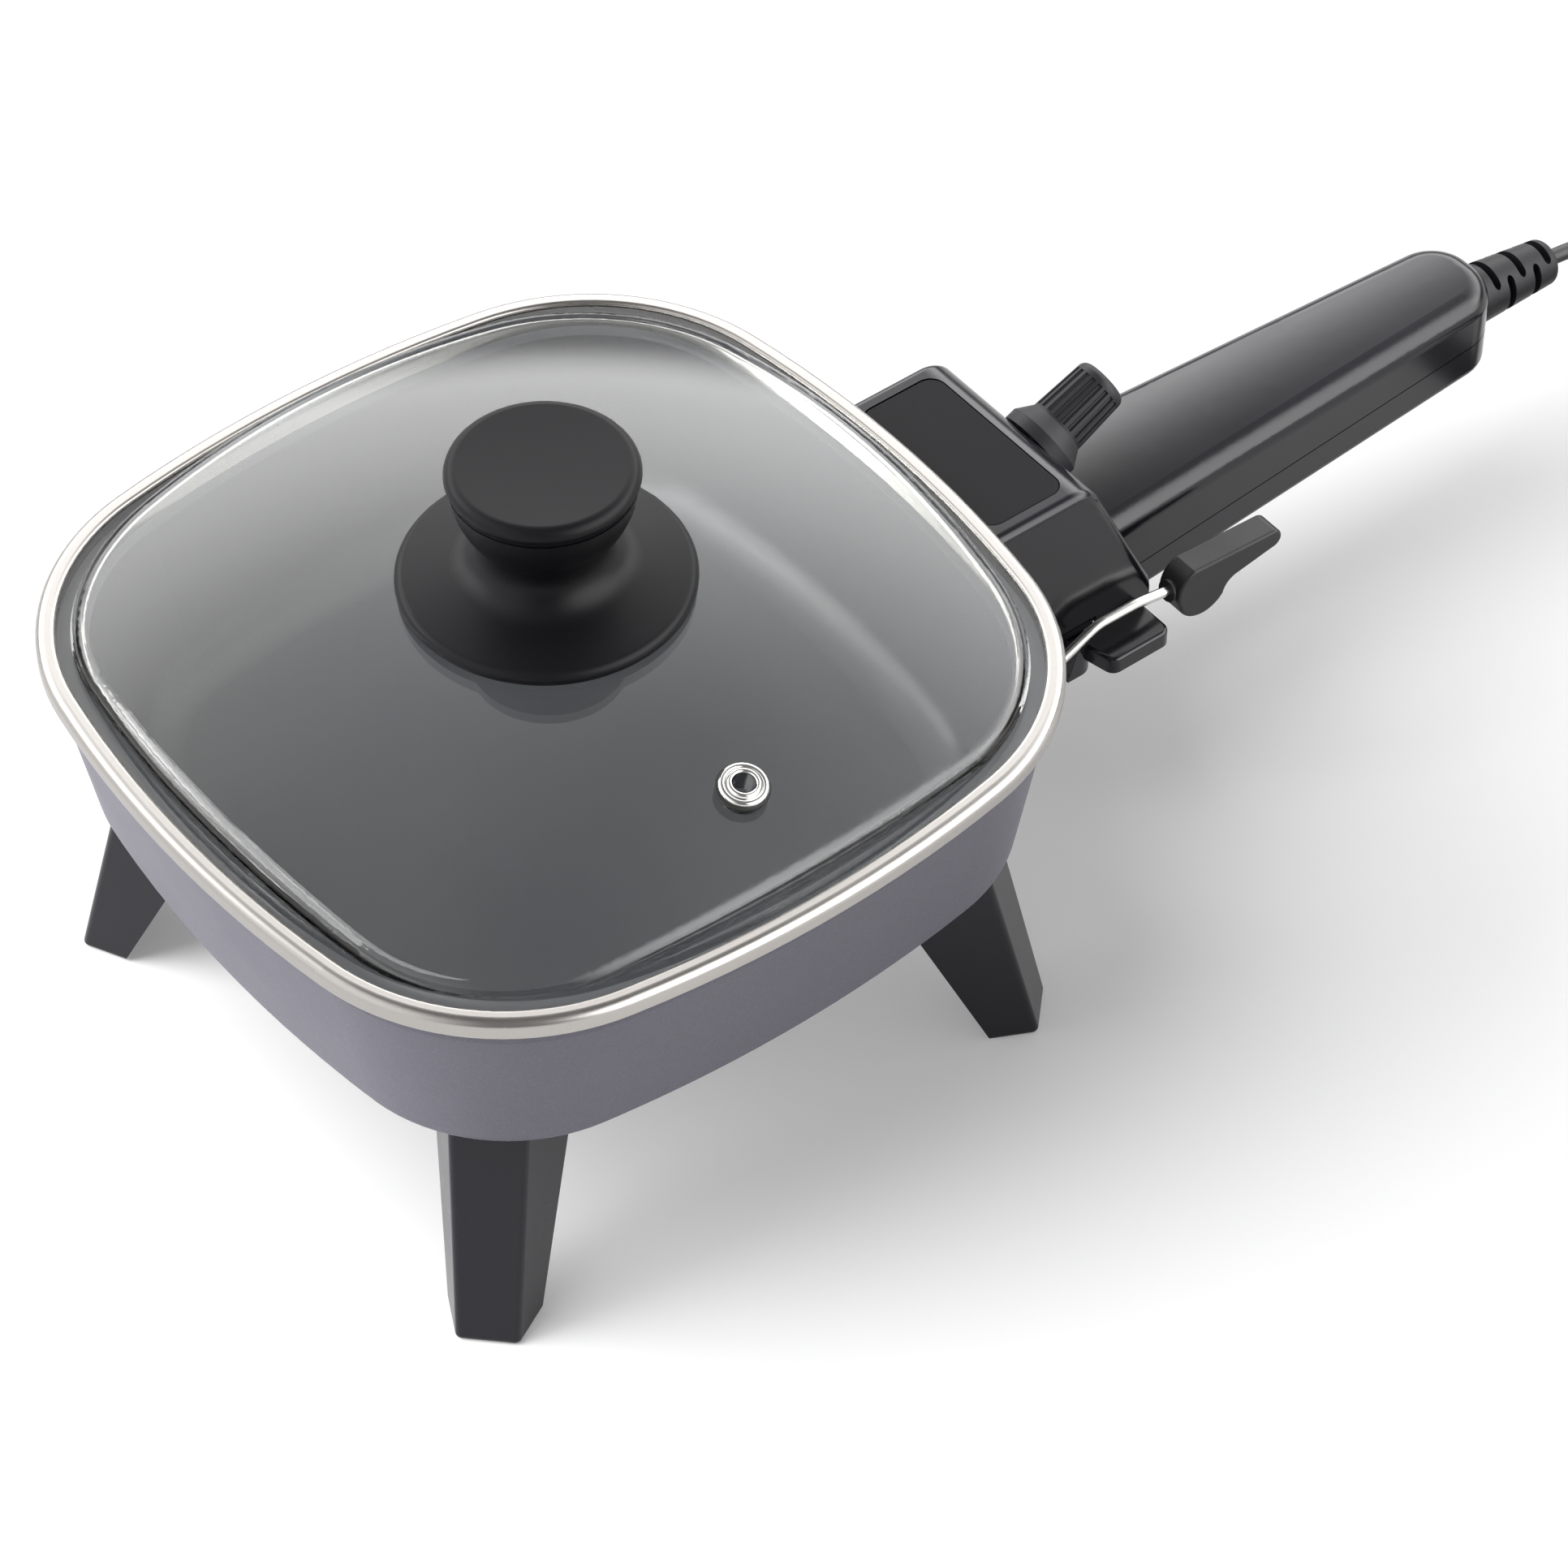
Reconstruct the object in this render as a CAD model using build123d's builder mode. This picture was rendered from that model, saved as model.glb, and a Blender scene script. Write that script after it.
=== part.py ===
from build123d import *
import os
from math import atan2, cos, degrees, pi, radians, sin, sqrt, tan

os.makedirs("parts", exist_ok=True)

# An electric skillet for one: a rounded-square cast pan on four splayed legs, a glass lid that lifts
# off, and a control with its handle that pulls off the pan's two terminal pins.
#
# Millimetres, +Z up, the floor at Z = 0.  +X runs from the pan along the handle.  Sizes along X are
# measured from the pan's centre; PAN_X then puts the origin under the middle of the whole skillet.

# ------------------------------------------------------------------ driving dimensions: pan and legs

RIM_HALF = 92.4             # half the pan's width at its rim
SIDE_RADIUS = 277.4         # the rim's four sides are shallow arcs
CORNER_RADIUS = 51.4        # and run into four corner arcs
RIM_Z = 98.1                # top of the rim
RIM_THICK = 3.6             # the flat rim that joins skirt and bowl
RIM_WIDTH = 8.9             # from the rim's outside to the mouth of the bowl
CREASE_DROP = 3.8           # below this faint crease under the rim the skirt starts to taper
CREASE_STEP = 0.2           # how far the skirt stands back at the crease
SKIRT_TAPER = 8.1           # how much narrower the pan is, each side, at the skirt's lower edge
FOOT_SIDE_RADIUS = 317.0
FOOT_CORNER_RADIUS = 39.8
BASE_Z = 56.0               # lower edge of the skirt
BASE_ROUND = 2.0
SKIRT_WALL = 2.8
BOWL_TAPER = 8.5            # how much narrower the bowl is, each side, at its floor
FLOOR_Z = 62.5              # the cooking surface
BOWL_WALL = 3.2
FLOOR_THICK = 4.5
BOWL_ROUND = 11.0           # radius between wall and floor

LEG_TOP_Z = 57.2            # the legs stand up into the open underside of the skirt
LEG_HEAD_INSET = 6.2        # from the skirt's corner in to the outer face of a leg's head
LEG_HEAD_DEPTH = 23.6       # size of the head and of the foot along the pan's diagonal
LEG_FOOT_DEPTH = 10.2
LEG_SPLAY = 13.6            # how much further out the foot stands than the head
LEG_FOOT_FACE = 6.6         # half widths of the outer face
LEG_HEAD_FACE = 8.3
LEG_FLANK = 18.0            # degrees by which the two flanks spread towards the pan's middle
LEG_FACE_ROUND = 1.6
LEG_WALL = 2.6
LEG_OPENING = 12.0          # how far the channel is cut through towards the pan's middle
LEG_WEB = 5.0               # thickness of the head that the screw goes through
LEG_SOLE = 3.0
LEG_EDGE = 1.2              # rounding of the sole's edges
LEG_SCREW_INSET = 12.1      # from the head's outer face to the screw
LEG_PAD = 22.0              # length of the pad that a leg is screwed to
LEG_PAD_ROUND = 4.0
LEG_PAD_SINK = 1.0          # how far pads stop under the cooking surface
BLIND_END = 1.5             # metal left above a blind hole
FIT_GAP = 0.05              # clearance of pieces that are fixed to each other

# ------------------------------------------------------------------ driving dimensions: heater side

ELEMENT_RADIUS = 3.2        # sheathed heating element, cast into a ridge under the floor
ELEMENT_INSET = 25.0        # from the edge of the bowl's floor in to the element's loop
ELEMENT_BEND = 24.0
ELEMENT_TURN = 10.0         # radius where its two ends turn out to the terminals
RIDGE_WALL = 1.5
LUG_PROUD = 3.6             # how far the lug that carries the pins stands out past the rim
LUG_HALF = 26.0
LUG_LOW_Z = 52.4
LUG_HIGH_Z = 74.0
LUG_ROUND = 4.0
PIN_Z = 58.6
PIN_Y = 14.0                # half the spacing of the two terminal pins
PIN_RADIUS = 2.2
PIN_LENGTH = 20.0           # from the lug's face to the tips
PIN_ROOT = 7.0              # length inside the lug
PIN_POINT = 0.8
BUSHING_RADIUS = 3.8        # ceramic bushing round each pin
BUSHING_PROUD = 2.4
BUSHING_SEAT = 4.0
PROBE_Z = 67.0
PROBE_RADIUS = 2.9          # temperature probe of the control, in a bore in the lug
PROBE_CLEARANCE = 0.1
PROBE_DEPTH = 11.0
PROBE_TIP_GAP = 0.6
PROBE_SEAT = 8.0            # length held inside the thermostat

TONGUE_REACH = 23.0         # how far the tongue that the control rests on stands out past the lug
TONGUE_LENGTH = 57.0
TONGUE_HALF = 30.4
TONGUE_TOP_Z = 50.4
TONGUE_THICK = 8.6
TONGUE_CORNER = 9.0
TONGUE_EDGE = 1.0
TONGUE_SCREW_BACK = 8.0     # from the tongue's inner end to its screws
TONGUE_SCREW_Y = 24.0
TONGUE_SCREW_SINK = 3.0
BOSS_RADIUS = 5.2

# ------------------------------------------------------------------ driving dimensions: lid

SEAT_GAP = 0.3              # clearance where a piece rests on a piece that it can leave
RING_PROUD = 2.6            # how far the lid's steel ring stands out past the rim
RING_HEIGHT = 4.6
RING_WIDTH = 4.2
RING_BEAD = 2.0             # rounding of the ring's outer top edge
RING_WALL = 0.9
GLASS_THICK = 2.8
SHOULDER_INSET = 7.2        # where the glass turns up from its flat edge, in from the ring's outside
SHOULDER_ROUND = 4.2
DOME_RADIUS = 300.0
DOME_TOP_Z = 121.1
VENT_X = -1.0
VENT_INSET = 28.0           # from the ring's outside in to the vent
VENT_FLANGE = 5.25
VENT_TUBE = 3.3
VENT_HOLE = 2.4
GASKET_RADIUS = 5.7
KNOB_RIM = 31.3             # radius of the knob's wide foot
KNOB_UNDERCUT = 2.6         # width of the foot's edge that follows the glass
KNOB_EDGE = 3.1             # height of the foot's rounded edge
KNOB_SLOPE = 4.6            # height where the foot's upper face runs into the neck
KNOB_NECK = 13.7
KNOB_FLARE = 6.3            # how far the neck spreads into the foot
KNOB_WAIST = 14.0           # height of the narrowest place above the foot's edge
KNOB_BELL = 13.6            # from there up to the seam under the cap
CAP_RADIUS = 20.2
CAP_HEIGHT = 4.2
CAP_DISH = 0.3
CAP_EDGE = 2.4              # rounding of the cap's edge
CAP_LIP = 0.6               # how far the cap draws in at the seam
CAP_SPIGOT = 8.0
CAP_SEAM = 0.4              # gap that shows between the knob and its cap
KNOB_HUB = 9.0
KNOB_SEAT = 0.1             # clearance between the knob's foot and the dome
KNOB_SCREW_RADIUS = 1.5
KNOB_SCREW_DEPTH = 15.0     # depth of the screw's hole in the knob
WASHER_RADIUS = 8.0
WASHER_THICK = 1.2
WASHER_SLEEVE = 0.4
GASKET_THICK = 0.7

# ------------------------------------------------------------------ driving dimensions: control

BOX_GAP = 1.0               # between the lug and the housing's open side
BOX_TOP = 28.7              # length of the housing's top
BOX_SLANT = 0.47            # how much longer it is for each mm further down its slanted face
BOX_LENGTH = 45.8           # length down to its lower edge, where a short upright heel ends the slant
BOX_TOP_Z = 91.4
BOX_TOP_HALF = 26.8
BOX_FOOT_HALF = 28.0
BOX_WALL = 2.2
BOX_TOP_ROUND = 2.2
BOX_EDGE_ROUND = 1.0
BOX_HEEL_ROUND = 9.0
BASE_PLATE_LENGTH = 29.6    # length of the plate that closes the housing's underside
BASE_PLATE_THICK = 1.9
PLATE_INSET = 2.6           # from the housing's open side to the inset plate on its top
PLATE_LENGTH = 21.6
PLATE_HALF = 22.7
PLATE_CORNER = 4.0
PLATE_THICK = 1.0
PLATE_EDGE = 0.3
PLATE_SINK = 0.15
PLATE_GAP = 0.15

DIAL_Z = 79.8               # where the dial's axis crosses the slanted face
DIAL_COLLAR = 9.3           # the collar: an upright band under a cone
DIAL_BAND = 3.2
DIAL_CONE = 7.0
DIAL_GRIP = 6.9             # the fluted grip, at its foot and at its tip
DIAL_TIP = 6.3
DIAL_LENGTH = 22.0
DIAL_TIP_ROUND = 1.8
DIAL_RIM = 2.4              # plain rim left between the flutes and the tip
DIAL_FLUTES = 20
DIAL_FLUTE_RADIUS = 0.6
DIAL_GAP = 0.4
SHAFT_RADIUS = 3.0
SHAFT_CLEARANCE = 0.08
SHAFT_LENGTH = 12.0         # length of the shaft inside the housing
SHAFT_REACH = 12.0          # length of the shaft inside the dial

CLIP_RADIUS = 4.0
CLIP_INSET = 2.4            # from the housing's open side to the two clips
CLIP_CLEARANCE = 0.1
BLOCK_GAP = 2.0             # from the pins' tips to the terminal block that carries the clips
BLOCK_THICK = 4.0
BLOCK_HALF = 21.0
BLOCK_TOP_Z = 65.5
STAT_INSET = 3.0            # from the housing's open side to the thermostat
STAT_HALF = 9.0
STAT_LOW_Z = 63.4
STAT_TOP_Z = 79.4
STAT_NECK = 5.0
STAT_DEPTH = 13.0           # from the housing's slanted face to the thermostat, along the dial's axis
COVER_SCREW_INSET = 10.0    # from the housing's open side to the two screws of the base plate
COVER_SCREW_Y = 22.6
COVER_POST = 3.4
COVER_POST_HEIGHT = 10.0
FLAT_HEAD = 1.0             # height of a head that is sunk in the base plate

HANDLE_ROOT = 25.0          # the handle's form starts here, measured from the housing's open side
HANDLE_GAUGE = 53.0         # and is cut off at the slanted face; its width and height are given here
HANDLE_REACH = 113.0        # length from there to its end
HANDLE_HALF = 17.8
HANDLE_TAPER = 0.052        # half width lost for each mm of length
HANDLE_TOP_Z = 66.6
HANDLE_FALL = 0.021         # height of the crown lost for each mm of length
HANDLE_BOTTOM_Z = 39.2
HANDLE_RISE = 0.014         # height of the underside gained for each mm of length
HANDLE_CROWN = 60.0         # radius of the crown across the handle
HANDLE_END_ROUND = 11.0
HANDLE_TOP_ROUND = 5.6
HANDLE_LOW_ROUND = 2.6
HANDLE_WALL = 2.2
PARTING_Z = 48.4            # height of the parting line where the width is given
PARTING_RISE = 1.3          # degrees
PARTING_GAP = 0.3
HANDLE_SCREWS = (18.0, 56.0, 93.0)      # from where the width is given
POST_RADIUS = 3.6
SCREW_RADIUS = 1.4
SCREW_HEAD = 2.7
SCREW_HEAD_HEIGHT = 2.0
SCREW_CLEARANCE = 0.1
SCREW_SHORT = 2.0           # how far a screw ends before its hole does
HANDLE_SCREW_LENGTH = 14.0
LEAD_RADIUS = 1.1           # the two wires inside the handle
LEAD_Y = 5.4
LEAD_Z = 57.5
LEAD_SEAT = 2.0             # length of each wire held in the terminal block and in the strain relief
LEAD_HOLE = 1.5             # radius of the hole that each wire passes in the housing
SCREW_SEAT_Z = 46.0         # where the handle's screws seat in its lower half
LIP = 0.6                   # depth of the groove along the handle's parting line

RELIEF_Z = 51.7
RELIEF_DROOP = 5.0          # degrees
RELIEF_LENGTH = 24.0
RELIEF_ROOT = 7.15
RELIEF_TIP = 5.65
RELIEF_TIP_ROUND = 1.6
RELIEF_SEAT = 6.0           # length held inside the handle's end
RELIEF_CORE = 3.1
RELIEF_SLOTS = 5
RELIEF_SLOT = 2.1
RELIEF_PITCH = 4.25
RELIEF_FIRST = 3.6
RELIEF_BRIDGE = 1.3         # rubber left at each end of a slot

# ------------------------------------------------------------------ driving dimensions: lever, ledge

WIRE_RADIUS = 1.2
WIRE_CLEARANCE = 0.1
BORE_MOUTH = 1.0            # widening of the bore where the wire turns into it
LEVER_GAP = 0.8             # from the tongue's side to the wire
LEVER_BACK = 13.0           # from the tongue's end back to the lever's pivot
LEVER_PIVOT_DROP = 2.6      # from the tongue's top down to it
LEVER_KNEE = (17.4, 7.9)    # the wire's knee, the bend of its arm and its tip, from the pivot
LEVER_BEND = (28.5, 7.7)
LEVER_TIP = (46.0, 4.7)
LEVER_KNEE_BEND = 8.0
LEVER_ARM_BEND = 20.0
LEVER_CORNER_BEND = 3.0
LEVER_END_Y = 36.0
GRIP_THICK = 7.0
GRIP_EDGE = 0.8
GRIP_COLLAR = 2.6           # collar round the wire where it enters the grip
GRIP_COLLAR_LENGTH = 8.8    # from the wire's tip back to the collar's end
CLIP_RING_RADIUS = 3.2
CLIP_RING_THICK = 1.6

CAP_WALL = 5.0              # part of the bracket that covers the tongue's end
CAP_CHEEK = 1.5             # and its two cheeks, which reach back along the tongue's sides
CAP_CHEEK_SLANT = 19.0      # degrees by which they lengthen on their way down
LEDGE_DROP = 0.4            # from the tongue's top down to the thumb ledge
LEDGE_THICK = 4.2
LEDGE_START = 1.7           # the ledge, along X from the tongue's end
LEDGE_LENGTH = 18.8
LEDGE_SKEW = 2.0
LEDGE_PROUD = 8.8           # and sideways past the tongue
LEDGE_ROOT = 1.8
LEDGE_CORNER = 2.6
LEDGE_EDGE = 0.9
BRACKET_SCREW_Y = 18.0
BRACKET_SCREW_SINK = 2.2
BRACKET_SCREW_LENGTH = 9.0

# ------------------------------------------------------------------ driving dimensions: cord, plug

CORD_RADIUS = 2.0
CORD_SEAT = 3.0             # length held in the strain relief's tip
CORD_ROUTE = ((313, -1.5, 43), (325, -6, 32), (332.5, -13, 19), (335, -23, 8), (334.6, -34, 2.6),
              (334, -45, 2.05))
TAIL_ROUTE = ((334, -45, 6), (334.2, -53, 6.9), (334.5, -61, 8))
COIL_X = 308.0              # the coil, the plug and the cord's route, from the pan's centre
COIL_Y = -45.0
COIL_MID = 22.0             # radius at the middle of the turns
COIL_ROWS = 3
COIL_LAYERS = 2
PLUG_ENTRY = (334.5, -70.0, 8.0)
PLUG_HALF_WIDTH = 11.0
PLUG_HALF_HEIGHT = 8.0
PLUG_LENGTH = 30.0
PLUG_NECK = 4.4
PLUG_NECK_LENGTH = 10.0
BLADE_SPACING = 12.7
BLADE_WIDTH = 6.35
BLADE_THICK = 1.5
BLADE_LENGTH = 16.0

# ------------------------------------------------------------------ sizes worked out from those above

RIM = (RIM_HALF, SIDE_RADIUS, CORNER_RADIUS)
RING = (RIM_HALF + RING_PROUD, SIDE_RADIUS + RING_PROUD, CORNER_RADIUS + RING_PROUD)
FOOT = (RIM_HALF - SKIRT_TAPER, FOOT_SIDE_RADIUS, FOOT_CORNER_RADIUS)
MOUTH_INSET = RING_PROUD + RIM_WIDTH
FLOOR_INSET = MOUTH_INSET + BOWL_TAPER
RING_HALF = RIM_HALF + RING_PROUD
MOUTH_HALF = RING_HALF - MOUTH_INSET
ELEMENT_HALF = RING_HALF - FLOOR_INSET - ELEMENT_INSET

LUG_X = RIM_HALF + LUG_PROUD
PIN_ROOT_X = LUG_X - PIN_ROOT
PIN_TIP_X = LUG_X + PIN_LENGTH
TONGUE_X = LUG_X + TONGUE_REACH
TONGUE_BACK_X = TONGUE_X - TONGUE_LENGTH
TONGUE_SCREW_X = TONGUE_BACK_X + TONGUE_SCREW_BACK
TONGUE_LOW_Z = TONGUE_TOP_Z - TONGUE_THICK
BRACKET_X = TONGUE_X + CAP_WALL
BRACKET_SCREW_Z = TONGUE_TOP_Z - TONGUE_THICK / 2

RING_Z = RIM_Z + SEAT_GAP
GLASS_Z = RING_Z + RING_WALL + FIT_GAP
DOME_CENTRE_Z = DOME_TOP_Z - DOME_RADIUS
VENT_Y = VENT_INSET - RING_HALF
WASHER_TOP_Z = DOME_TOP_Z - GLASS_THICK - WASHER_RADIUS**2 / DOME_RADIUS / 2 - FIT_GAP
KNOB_SKIRT = KNOB_RIM - KNOB_UNDERCUT
KNOB_LOW_Z = DOME_CENTRE_Z + sqrt(DOME_RADIUS**2 - KNOB_SKIRT**2) + KNOB_SEAT
WAIST_Z = KNOB_LOW_Z + KNOB_WAIST
SEAM_Z = WAIST_Z + KNOB_BELL
CAP_LOW_Z = SEAM_Z + CAP_SEAM
CAP_TOP_Z = CAP_LOW_Z + CAP_HEIGHT
KNOB_SCREW_TIP_Z = DOME_TOP_Z + KNOB_SCREW_DEPTH

BOX_FOOT_Z = TONGUE_TOP_Z + SEAT_GAP
BOX_BACK_X = LUG_X + BOX_GAP
BOX_TOP_X = BOX_BACK_X + BOX_TOP
BOX_HEEL_X = BOX_BACK_X + BOX_LENGTH
BASE_PLATE_X = BOX_BACK_X + BASE_PLATE_LENGTH
PLATE_X = BOX_BACK_X + PLATE_INSET + PLATE_LENGTH / 2
CLIP_BACK_X = BOX_BACK_X + CLIP_INSET
BLOCK_X = PIN_TIP_X + BLOCK_GAP
BLOCK_LOW_Z = BOX_FOOT_Z + BASE_PLATE_THICK
STAT_BACK_X = BOX_BACK_X + STAT_INSET
COVER_SCREW_X = BOX_BACK_X + COVER_SCREW_INSET
FACE_TILT = atan2(BOX_SLANT, 1)
DIAL_X = BOX_TOP_X + (BOX_TOP_Z - DIAL_Z) * BOX_SLANT
PROBE_TIP_X = LUG_X - PROBE_DEPTH + PROBE_TIP_GAP

HANDLE_ROOT_X = BOX_BACK_X + HANDLE_ROOT
HANDLE_GAUGE_X = BOX_BACK_X + HANDLE_GAUGE
HANDLE_END_X = HANDLE_GAUGE_X + HANDLE_REACH
RELIEF_REACH = (RELIEF_LENGTH - RELIEF_TIP_ROUND) * cos(radians(RELIEF_DROOP)) + RELIEF_TIP_ROUND
RELIEF_REACH += (RELIEF_TIP - RELIEF_TIP_ROUND) * sin(radians(RELIEF_DROOP))
PAN_X = (RING_HALF - HANDLE_END_X - RELIEF_REACH) / 2

LEVER_Y = -TONGUE_HALF - LEVER_GAP - WIRE_RADIUS
LEVER_PIVOT_X = TONGUE_X - LEVER_BACK
LEVER_PIVOT_Z = TONGUE_TOP_Z - LEVER_PIVOT_DROP
LEDGE_TOP_Z = TONGUE_TOP_Z - LEDGE_DROP
LEDGE_X = TONGUE_X + LEDGE_START

COIL_HALF_WIDTH = COIL_ROWS * CORD_RADIUS
COIL_HEIGHT = COIL_LAYERS * 2 * CORD_RADIUS


# ------------------------------------------------------------------ planes and shared outlines

def level(z, x=0.0, y=0.0):
    """A horizontal plane at height z, over a point measured from the pan's centre."""
    return Plane(origin=(PAN_X + x, y, z))


def upright(y=0.0):
    """The plane of X and Z at y, with X measured from the pan's centre."""
    return Plane(origin=(PAN_X, y, 0), x_dir=(1, 0, 0), z_dir=(0, -1, 0))


def across(x):
    """The plane of Y and Z at x."""
    return Plane(origin=(PAN_X + x, 0, 0), x_dir=(0, 1, 0), z_dir=(1, 0, 0))


def along(x, y, z, direction, x_dir=(0, 1, 0)):
    """A plane through a point, square to a direction."""
    return Plane(origin=(PAN_X + x, y, z), x_dir=x_dir, z_dir=direction)


def section_of(plane):
    """The plane that holds another plane's normal: local X runs out from it and local Y along it."""
    return Plane(origin=plane.origin, x_dir=plane.x_dir, z_dir=plane.y_dir * -1)


def axis_of(plane):
    """The normal of a plane as an axis to revolve about."""
    return Axis(plane.origin, plane.z_dir)


def save(piece, label):
    """Label a finished piece and write it as a STEP file of its own."""
    piece.part.label = label
    export_step(piece.part, f"parts/{label}.step")


def corner_centre(outline):
    """Centre of the corner arcs, along X and Y, so that they run smoothly into the side arcs."""
    half_width, side_radius, corner_radius = outline
    reach = side_radius - half_width
    return (sqrt(2 * (side_radius - corner_radius) ** 2 - reach**2) - reach) / 2


def corner_reach(outline):
    """Distance from the pan's centre to the outline's corner, along the diagonal."""
    return sqrt(2) * corner_centre(outline) + outline[2]


def rounded_square(outline, inset=0.0, mode=Mode.ADD):
    """A face bounded by four shallow side arcs that run smoothly into four corner arcs."""
    half_width, side_radius, corner_radius = outline
    side = half_width - side_radius
    corner = corner_centre(outline)
    swing = degrees(atan2(corner, corner - side))
    with BuildLine() as edge_line:
        for turn in range(0, 360, 90):
            side_centre = Vector(side, 0).rotate(Axis.Z, turn)
            corner_point = Vector(corner, corner).rotate(Axis.Z, turn)
            CenterArc(side_centre, side_radius - inset, turn - swing, 2 * swing)
            CenterArc(corner_point, corner_radius - inset, turn + swing, 90 - 2 * swing)
    make_face(edge_line.edges(), mode=mode)


def bowl_form(wall, floor):
    """The tapered bowl with its rounded floor edge, larger all round by wall and floor."""
    with BuildPart() as form:
        with BuildSketch(level(FLOOR_Z - floor)):
            rounded_square(RING, FLOOR_INSET - wall)
        with BuildSketch(level(RIM_Z)):
            rounded_square(RING, MOUTH_INSET - wall)
        loft()
        fillet(form.faces().sort_by(Axis.Z)[0].edges(), BOWL_ROUND + wall)
    return form.part


def dome_form(inset, drop, rounding):
    """A rounded-square block under a shallow sphere, with the edge between them rounded."""
    with BuildPart() as form:
        with BuildSketch(level(GLASS_Z - drop)):
            rounded_square(RING, inset)
        extrude(amount=DOME_TOP_Z - GLASS_Z + drop)
        with Locations((PAN_X, 0, DOME_CENTRE_Z)):
            Sphere(DOME_RADIUS - drop, mode=Mode.INTERSECT)
        fillet(form.faces().sort_by(Axis.Z)[-1].edges(), rounding)
    return form.part


def dome_plane(x, y, lift=0.0):
    """A plane square to the dome's outer surface over the point x, y."""
    rise = (DOME_RADIUS**2 - x**2 - y**2) ** 0.5
    normal = Vector(x, y, rise).normalized()
    return Plane(origin=Vector(PAN_X, 0, DOME_CENTRE_Z) + normal * (DOME_RADIUS + lift), z_dir=normal)


LEG_HEAD_OUT = corner_reach(FOOT) - LEG_HEAD_INSET
LEG_FOOT_OUT = LEG_HEAD_OUT + LEG_SPLAY
LEG_SCREW_OUT = LEG_HEAD_OUT - LEG_SCREW_INSET

FACE_NORMAL = (cos(FACE_TILT), 0, sin(FACE_TILT))
FACE_PLANE = along(BOX_TOP_X, 0, BOX_TOP_Z, FACE_NORMAL)


def dial_plane(height):
    """A plane square to the dial's axis, at a height above the housing's slanted face."""
    x = DIAL_X + height * cos(FACE_TILT)
    return along(x, 0, DIAL_Z + height * sin(FACE_TILT), FACE_NORMAL)


# ------------------------------------------------------------------ pan

with BuildLine(level(PIN_Z)) as element_line:
    FilletPolyline(
        (PIN_ROOT_X, PIN_Y),
        (ELEMENT_HALF, PIN_Y),
        (ELEMENT_HALF, ELEMENT_HALF),
        (-ELEMENT_HALF, ELEMENT_HALF),
        (-ELEMENT_HALF, -ELEMENT_HALF),
        (ELEMENT_HALF, -ELEMENT_HALF),
        (ELEMENT_HALF, -PIN_Y),
        (PIN_ROOT_X, -PIN_Y),
        radius=[ELEMENT_TURN, ELEMENT_BEND, ELEMENT_BEND, ELEMENT_BEND, ELEMENT_BEND, ELEMENT_TURN],
    )


def element_tube(radius):
    """The heating element's run, as a tube."""
    with BuildPart() as tube:
        with BuildSketch(along(PIN_ROOT_X, PIN_Y, PIN_Z, (-1, 0, 0))):
            Circle(radius)
        sweep(path=element_line.line)
    return tube.part


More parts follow.
